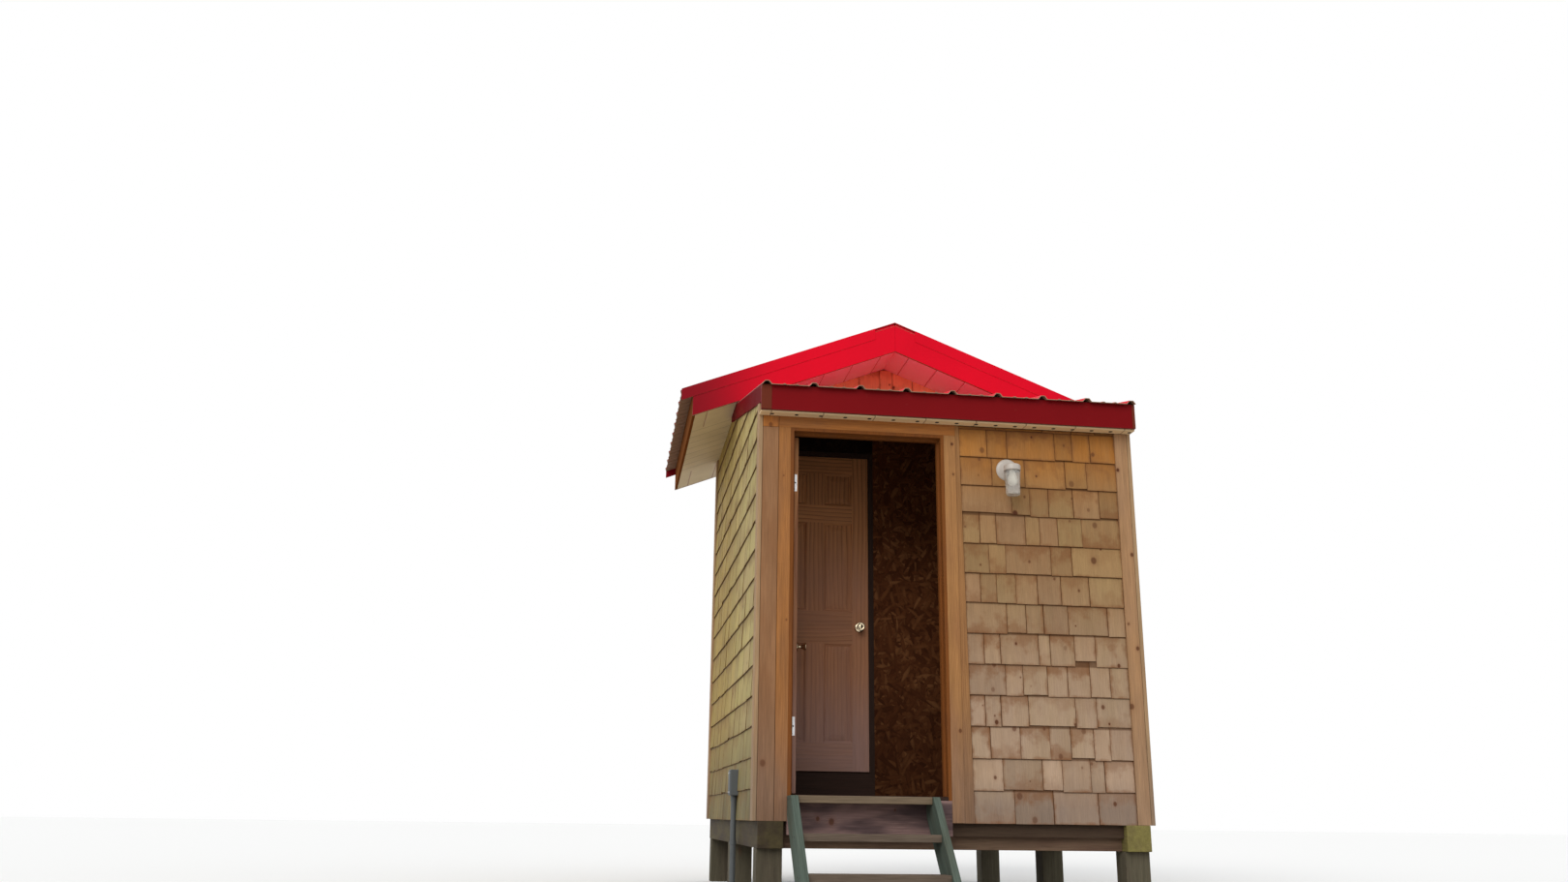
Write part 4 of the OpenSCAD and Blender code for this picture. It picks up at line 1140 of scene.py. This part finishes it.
def door_leaf(side, body, width):
    """A six-panel door: stiles, rails and raised panels, each with its own grain."""
    bm = board_mesh()
    low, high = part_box(f"{side}_door")
    height = high.z - low.z
    rows, rails = door_rows(height)
    panel_w = (width - 2 * STILE_W - MULLION_W) / 2
    left, right = STILE_W, width - STILE_W
    for sign, y in ((1, -DOOR_T), (-1, 0.0)):
        look = {"y": y, "flip": sign < 0}
        flat(bm, EDGE_INSET, left, 0.0, height, along=UP, **look)
        flat(bm, right, width, 0.0, height, along=UP, **look)
        for rail in rails:
            flat(bm, left, right, *rail, along=SIDE, **look)
        for row in rows:
            flat(bm, left + panel_w, left + panel_w + MULLION_W, *row, along=UP, **look)
            panel(bm, left, left + panel_w, *row, y, sign)
            panel(bm, left + panel_w + MULLION_W, right, *row, y, sign)
    for u, flip in ((EDGE_INSET, False), (width, True)):
        points = [Vector((u, 0.0, 0.0)), Vector((u, -DOOR_T, 0.0)), Vector((u, -DOOR_T, height)),
                  Vector((u, 0.0, height))]
        quad(bm, points, UP, random_offset(), -0.3, flip)
    for z, flip in ((0.0, False), (height, True)):
        points = [Vector((EDGE_INSET, -DOOR_T, z)), Vector((EDGE_INSET, 0.0, z)),
                  Vector((width, 0.0, z)), Vector((width, -DOOR_T, z))]
        quad(bm, points, SIDE, random_offset(), -0.3, flip)
    bmesh.ops.remove_doubles(bm, verts=bm.verts, dist=1e-6)
    bm.transform(door_transform(side, body))
    new_piece(f"{side}_door_boards", bm, "pine", body, replaces=(f"{side}_door",))


def knobs(side, body, width):
    """Flared knobs on round roses, one on each face."""
    bm = bmesh.new()
    for y, axis in ((0.0, -OUT), (-DOOR_T, OUT)):
        lathe(bm, KNOB_PROFILE, (width - KNOB_INSET, y, KNOB_HEIGHT), axis, 40)
    bm.transform(door_transform(side, body))
    new_piece(f"{side}_door_knobs_turned", bm, "knob_metal", body, smooth=True,
              replaces=(f"{side}_door_knobs",), outward=True)


def hinge_screws(side, body, _):
    """Three staggered screws in each hinge leaf, on the door's edge and on the jamb."""
    pin, _ = door_place(side, body)
    door, jamb = bmesh.new(), bmesh.new()
    for middle in HINGE_HEIGHTS:
        for step, back in ((-0.034, 0.009), (0.0, 0.019), (0.034, 0.009)):
            screw_head(door, (0.0, -back, middle + step), -SIDE)
            at = (pin.x - FROM_PIN.x, pin.y + FROM_PIN.y - back, pin.z + middle + step)
            screw_head(jamb, at, SIDE)
    door.transform(door_transform(side, body))
    for bm, owner, label in ((door, body, "leaf"), (jamb, "building", "jamb")):
        new_piece(f"{side}_door_{label}_screws", bm, "dark_steel", owner, outward=True)


# Roofs

def rib(bm, place, across, start, end):
    """A low trapezium rib; place takes how far it is along the slope, across it and up."""
    low, high = [[bm.verts.new(place(run, across + side, up)) for side, up in RIB_PROFILE]
                 for run in (start, end)]
    for i in range(3):
        bm.faces.new((low[i], low[i + 1], high[i + 1], high[i]))
    bm.faces.new(low)
    bm.faces.new(high[::-1])


def roof_screw(bm, place, axis):
    lathe(bm, ((0.0085, 0.0), (0.0085, 0.0015), (0.0048, 0.0022), (0.0046, 0.0062),
               (0.0, 0.0066)), place, axis, 8)


def dress_slope(ribs, screws, turn, flat_place, low, high, span, screw_runs):
    """Two low ribs in each pan of a slope, and screws beside its main ribs. The slope goes from
    low to high across; flat_place takes a place on it to the coordinates that turn takes."""
    def place(run, across, up):
        return turn @ Vector(flat_place(run, across, up))

    bays = round((high - low) / RIB_PITCH)
    step = (high - low - RIB_FOOT) / bays
    for i in range(bays):
        for share in (1 / 3, 2 / 3):
            rib(ribs, place, low + RIB_FOOT + i * step + (step - RIB_FOOT) * share, *span)
    for i in range(bays + 1):
        across = low + i * step + RIB_FOOT + SCREW_FROM_RIB
        if across <= high - 0.02:
            for run in screw_runs:
                roof_screw(screws, place(run, across, 0.0), turn.to_3x3() @ UP)


def minor_ribs():
    """Low ribs and screws on both slopes of the gable roof and on the lean-to roof."""
    ribs, screws = bmesh.new(), bmesh.new()
    angle = math.atan(MAIN_SLOPE)
    length = (ROOF_HIGH.x - RIDGE_GAP) / math.cos(angle)
    top = ROOF_HIGH.z - RIB_H / math.cos(angle) - MAIN_SLOPE * RIDGE_GAP
    for sign in (1, -1):
        dress_slope(ribs, screws,
                    Matrix.Translation((0, 0, top)) @ Matrix.Rotation(sign * angle, 4, "Y"),
                    lambda run, across, up: (sign * run, across, up), ROOF_LOW.y, ROOF_HIGH.y,
                    (0.12, length - 0.004), [0.26 + k * (length - 0.36) / 3 for k in range(4)])
    angle = math.atan(SHED_SLOPE)
    foot = SHED_LOW.y
    length = (RAKE_LOW.y - foot) / math.cos(angle)
    top = (FASCIA_HIGH.z + SHED_SLOPE * (foot - FASCIA_HIGH.y) + SHEET_T / math.cos(angle)
           + 0.0003)
    dress_slope(ribs, screws,
                Matrix.Translation((0, foot, top)) @ Matrix.Rotation(angle, 4, "X"),
                lambda run, across, up: (across, run, up), SHED_LOW.x, SHED_HIGH.x,
                (0.0, length), [0.09 + k * (length - 0.2) / 2 for k in range(3)])
    new_piece("minor_ribs", ribs, "red_paint", outward=True)
    new_piece("roof_screws", screws, "red_paint", outward=True)


def soffit_vents():
    """Vent holes along the lean-to's soffit as flat dark discs, painted shade, wider apart in the
    left strip.
    """
    bm = bmesh.new()
    y = 0.5 * (SOFFIT_LOW.y + SOFFIT_HIGH.y)
    x = SOFFIT_LOW.x + 0.07
    while x < SOFFIT_HIGH.x - 0.01:
        lathe(bm, ((VENT_R, 0.0), (VENT_R, 0.0012), (0.0, 0.0012)), (x, y, SOFFIT_LOW.z), -UP,
              12)
        x += VENT_PITCHES[0] if x < VENT_CHANGE_X else VENT_PITCHES[1]
    new_piece("soffit_vents", bm, "dark_hole")


def fascia_ends():
    """The folded ends of the side trims, which close both ends of the lean-to's fascia."""
    bm = bmesh.new()
    ends = ((FASCIA_LOW.x, FASCIA_LOW.x + FOLD_W[0]), (FASCIA_HIGH.x - FOLD_W[1], FASCIA_HIGH.x))
    for low, high in ends:
        faces = add_box(bm, (low, FASCIA_LOW.y - 0.0025, FASCIA_LOW.z + 0.002),
                        (high, FASCIA_LOW.y + 0.001, FASCIA_HIGH.z - 0.004))
        ease(bm, edges_of(faces), 0.0012)
    new_piece("fascia_ends", bm, "end_brown_paint", outward=True)


# Fittings

def wall_light():
    """The white base and holder of the jar, and the lamp in it."""
    low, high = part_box("wall_light")
    jar_low, jar_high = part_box("light_jar")
    x, y, z = 0.5 * (low.x + high.x), 0.5 * (jar_low.y + jar_high.y), high.z - LIGHT_R
    cap_low, cap_high = z + JAR_CAP[0], z + JAR_CAP[1]
    bm = bmesh.new()
    lathe(bm, ((LIGHT_R, 0.0), (LIGHT_R, 0.009), (LIGHT_R - 0.004, 0.015),
               (LIGHT_R - 0.016, 0.019), (LIGHT_R - 0.03, 0.02), (0.0, 0.0205)),
          (x, Y_FACE, z), OUT, 48)
    lathe(bm, ((0.022, 0.0), (0.014, 0.01), (0.012, Y_FACE - y - 0.04)),
          (x, Y_FACE - 0.02, z - 0.008), OUT)
    lathe(bm, ((0.0, 0.0), (0.03, 0.0005), (0.041, 0.003), (0.047, 0.008), (0.049, 0.014),
               (0.049, 0.034), (0.049, 0.0405), (0.045, 0.041), (0.04, 0.041), (0.038, 0.03),
               (0.0, 0.03)), (x, y, cap_high), -UP, 48)
    new_piece("wall_light_body", bm, "white_plastic", smooth=True, replaces=("wall_light",),
              outward=True)
    lamp = bmesh.new()
    lathe(lamp, ((0.013, -0.01), (0.014, 0.0), (0.017, 0.014), (0.025, 0.034), (0.029, 0.052),
                 (0.028, 0.066), (0.021, 0.079), (0.01, 0.086), (0.0, 0.088)),
          (x, y, cap_low), -UP)
    new_piece("light_bulb", lamp, "bulb", smooth=True, outward=True)


def service_box():
    """A grey box with rounded edges, a lid and screws, and its conduit with a strap."""
    low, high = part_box("service_box")
    foot = high.z - BOX_H
    bm = bmesh.new()
    add_box(bm, (low.x, low.y, foot), (-X_FACE, high.y, high.z))
    ease(bm, list(bm.edges), 0.006, 3)
    lid = add_box(bm, (low.x - 0.003, low.y + 0.006, foot + 0.006),
                  (low.x + 0.002, high.y - 0.006, high.z - 0.006))
    ease(bm, edges_of(lid), 0.002)
    x, y = -X_FACE - CONDUIT_R - TRIM_T / 2, 0.5 * (low.y + high.y)
    socket_r, strap_r = CONDUIT_R + 0.003, CONDUIT_R + 0.0035
    lathe(bm, ((0.0, 0.0), (CONDUIT_R, 0.0), (CONDUIT_R, foot - 0.035), (socket_r, foot - 0.034),
               (socket_r, foot + 0.002)), (x, y, 0.0), UP, 28)
    lathe(bm, ((CONDUIT_R, 0.0), (strap_r, 0.0), (strap_r, 0.022), (CONDUIT_R, 0.022)),
          (x, y, STRAP_Z), UP, 28)
    new_piece("service_box_body", bm, "grey_plastic", replaces=("service_box",), outward=True)
    screws = bmesh.new()
    for dy in (-0.036, 0.036):
        for z in (foot + 0.02, high.z - 0.02):
            screw_head(screws, (low.x - 0.003, y + dy, z), -SIDE, 0.004)
    new_piece("service_box_screws", screws, "zinc", outward=True)


# Wooden parts of the frame

def upright_or_head(limit):
    """Grain runs up the jambs and across the head."""
    return lambda p: SIDE if p.z > limit else UP


def corner_boards():
    """Two boards at each corner: the side board shows its edge beside the front board."""
    def band_top(x, y):
        return band_under(y) - CUT_GAP

    def gable_top(x, y):
        return soffit_under(x) - CUT_GAP

    def soffit_top(x, y):
        return SOFFIT_LOW.z - CUT_GAP

    def casing_top(x, y):
        return HEAD_LOW.z - TOP_GAP

    sides, faces = board_mesh(), board_mesh()
    for low, high in ((-X_OUT, -X_FACE), (X_FACE, X_OUT)):
        add_board(sides, low, high, Y_FRONT, Y_FRONT + CORNER_W, Z_SKIRT, band_top, (0.2, 0.0))
        add_board(sides, low, high, Y_BACK - CORNER_W, Y_BACK, Z_SKIRT, gable_top, (0.0, 0.0))
    left, right, casing = -X_FACE + JOINT, X_FACE - JOINT, CASING_LOW.x - JOINT
    front, back = (Y_FRONT, Y_FACE), (Y_BACK_FACE, Y_BACK)
    add_board(faces, left, casing, *front, Z_SKIRT, casing_top, (-0.2, 0.8))
    add_board(faces, left, casing, *front, HEAD_LOW.z, soffit_top, (0.9, -0.7))
    add_board(faces, X_BOARD, right, *front, Z_SKIRT, soffit_top, (0.8, 0.15))
    add_board(faces, left, -X_BOARD, *back, Z_SKIRT, gable_top, (0.0, 0.3))
    add_board(faces, X_BOARD, right, *back, Z_SKIRT, gable_top, (0.2, 0.0))
    for bm, name, material in ((faces, "corner_boards_wood", "cedar_trim"),
                               (sides, "corner_sides_wood", "pale_trim")):
        ease(bm, list(bm.edges), 0.0025)
        new_piece(name, bm, material, replaces=("corner_boards",))


def stringer_screws():
    """Two screws through each stringer into each tread."""
    bm = bmesh.new()
    low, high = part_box("stringers")
    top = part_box("treads")[1].z
    for n in range(TREADS):
        z = top - n * top / TREADS - PLANK_T / 2
        for back in (0.035, 0.105):
            y = Y_FRONT - TREAD_D - n * TREAD_RUN + back
            screw_head(bm, (low.x, y, z), -SIDE, 0.005)
            screw_head(bm, (high.x, y, z), SIDE, 0.005)
    new_piece("stringer_screws", bm, "dark_steel", outward=True)


def dress_timber():
    """Every wooden node, with its own boards, edges and grain."""
    cross_middle = sum(corner.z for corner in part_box("cross_boards")) / 2
    outer_jambs = upright_or_head(HEAD_LOW.z - 0.02)
    inner_jambs = upright_or_head(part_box("inner_frame")[1].z - 0.032)
    corner_boards()
    for node, material, bevel, more in (
            ("casing_sides", "cedar_trim", 0.0025,
             {"look": lambda p: (0.1, -0.4) if p.x < -0.5 else (0.8, 0.0)}),
            # The head casing's orange hue: painted shade under the overhang.
            ("casing_head", "cedar_trim", 0.0025, {"look": lambda p: (0.1, -0.65)}),
            ("outer_frame", "jamb_wood", 0.0015, {"grain_of": outer_jambs}),
            ("inner_frame", "dark_board", 0.0015, {"grain_of": inner_jambs}),
            ("posts", "post", 0.003, {}),
            ("skids", "skid", 0.004, {}),
            ("stringers", "treated", 0.003, {}),
            ("treads", "tread", 0.003, {}),
            # The upper cross board is darker than the lower: painted shadow of the steps.
            ("cross_boards", "cross_board", 0.002,
             {"look": lambda p: (-1.0, 0.0) if p.z > cross_middle else (1.0, 0.0)}),
            ("door_apron", "apron", 0.002, {}),
            ("floor_joists", "framing", 0.002, {}),
            ("floor", "floor_board", 0.001, {}),
            ("rear_floor", "floor_board", 0.001, {}),
            ("threshold", "dark_board", 0.0015, {}),
            ("partition_sill", "dark_board", 0.002, {}),
            ("shed_deck", "framing", 0.001, {}),
            ("main_deck", "framing", 0.001, {})):
        dressed(node, material, bevel, **more)
    stringer_screws()


def paint_nodes():
    """Gives the CAD nodes that stay as they are their materials."""
    for material, nodes in PAINTED.items():
        for node in nodes:
            used = frame["nodes"][node].data.materials
            used.clear()
            used.append(MATERIALS[material])


# Stage, light and camera

def shown_rays(g):
    """1 for rays that show the background: from the camera, in gloss and through glass."""
    path = g.node("ShaderNodeLightPath").outputs
    seen = g.most(Value(g, path["Is Camera Ray"]), Value(g, path["Is Glossy Ray"]))
    return g.most(seen, Value(g, path["Is Transmission Ray"]))


def floor_plane():
    """A floor that shows as nearly white, and throws back as much light as grey ground."""
    g = Material("pale_floor")
    g.surface(g.mix(shown_rays(g), (0.42, 0.4, 0.37), (0.95, 0.945, 0.935)), 0.9, 0.1)
    bm = bmesh.new()
    bmesh.ops.create_grid(bm, x_segments=1, y_segments=1, size=60.0)
    mesh_object("floor_plane", bm, g.owner)


def soft_world():
    """Plain soft light from all sides, with a white background."""
    g = Graph(bpy.data.worlds.new("soft_world"))
    bpy.context.scene.world = g.owner
    light = g.node("ShaderNodeBackground", {"Color": (0.96, 0.98, 1.0), "Strength": 0.82})
    white = g.node("ShaderNodeBackground", {"Color": (1.0, 1.0, 1.0), "Strength": 1.0})
    mix = g.node("ShaderNodeMixShader", {0: shown_rays(g), 1: light, 2: white})
    g.node("ShaderNodeOutputWorld", {"Surface": mix})


def soft_sun():
    """A wide sun from behind the camera, at its left."""
    sun = bpy.data.lights.new("soft_sun", "SUN")
    sun.energy = 1.2
    sun.angle = math.radians(40)
    sun.color = (1.0, 0.97, 0.92)
    lamp = in_scene("soft_sun", sun)
    lamp.rotation_euler = Vector((0.55, 0.95, -0.75)).to_track_quat("-Z", "Y").to_euler()


def camera():
    """The photograph's camera."""
    forward = Vector((math.sin(YAW) * math.cos(PITCH), math.cos(YAW) * math.cos(PITCH),
                      math.sin(PITCH)))
    level = Vector((math.cos(YAW), -math.sin(YAW), 0.0))
    upward = level.cross(forward)
    right = level * math.cos(ROLL) + upward * math.sin(ROLL)
    up = upward * math.cos(ROLL) - level * math.sin(ROLL)
    data = bpy.data.cameras.new("photo_camera")
    data.sensor_fit = "HORIZONTAL"
    data.sensor_width = 36.0
    data.lens = FOCAL_PIXELS / PHOTO_WIDTH * data.sensor_width
    made = in_scene("photo_camera", data)
    turn = Matrix((right, up, -forward)).transposed().to_4x4()
    made.matrix_world = Matrix.Translation(CAMERA_PLACE) @ turn
    bpy.context.scene.camera = made


camera()
floor_plane()
soft_world()
soft_sun()
bpy.context.scene.view_settings.view_transform = "Standard"
dress_timber()
paint_nodes()
dress_walls()
for build in (door_leaf, knobs, hinge_screws):
    for door in DOORS:
        build(*door)
minor_ribs()
soffit_vents()
fascia_ends()
wall_light()
service_box()
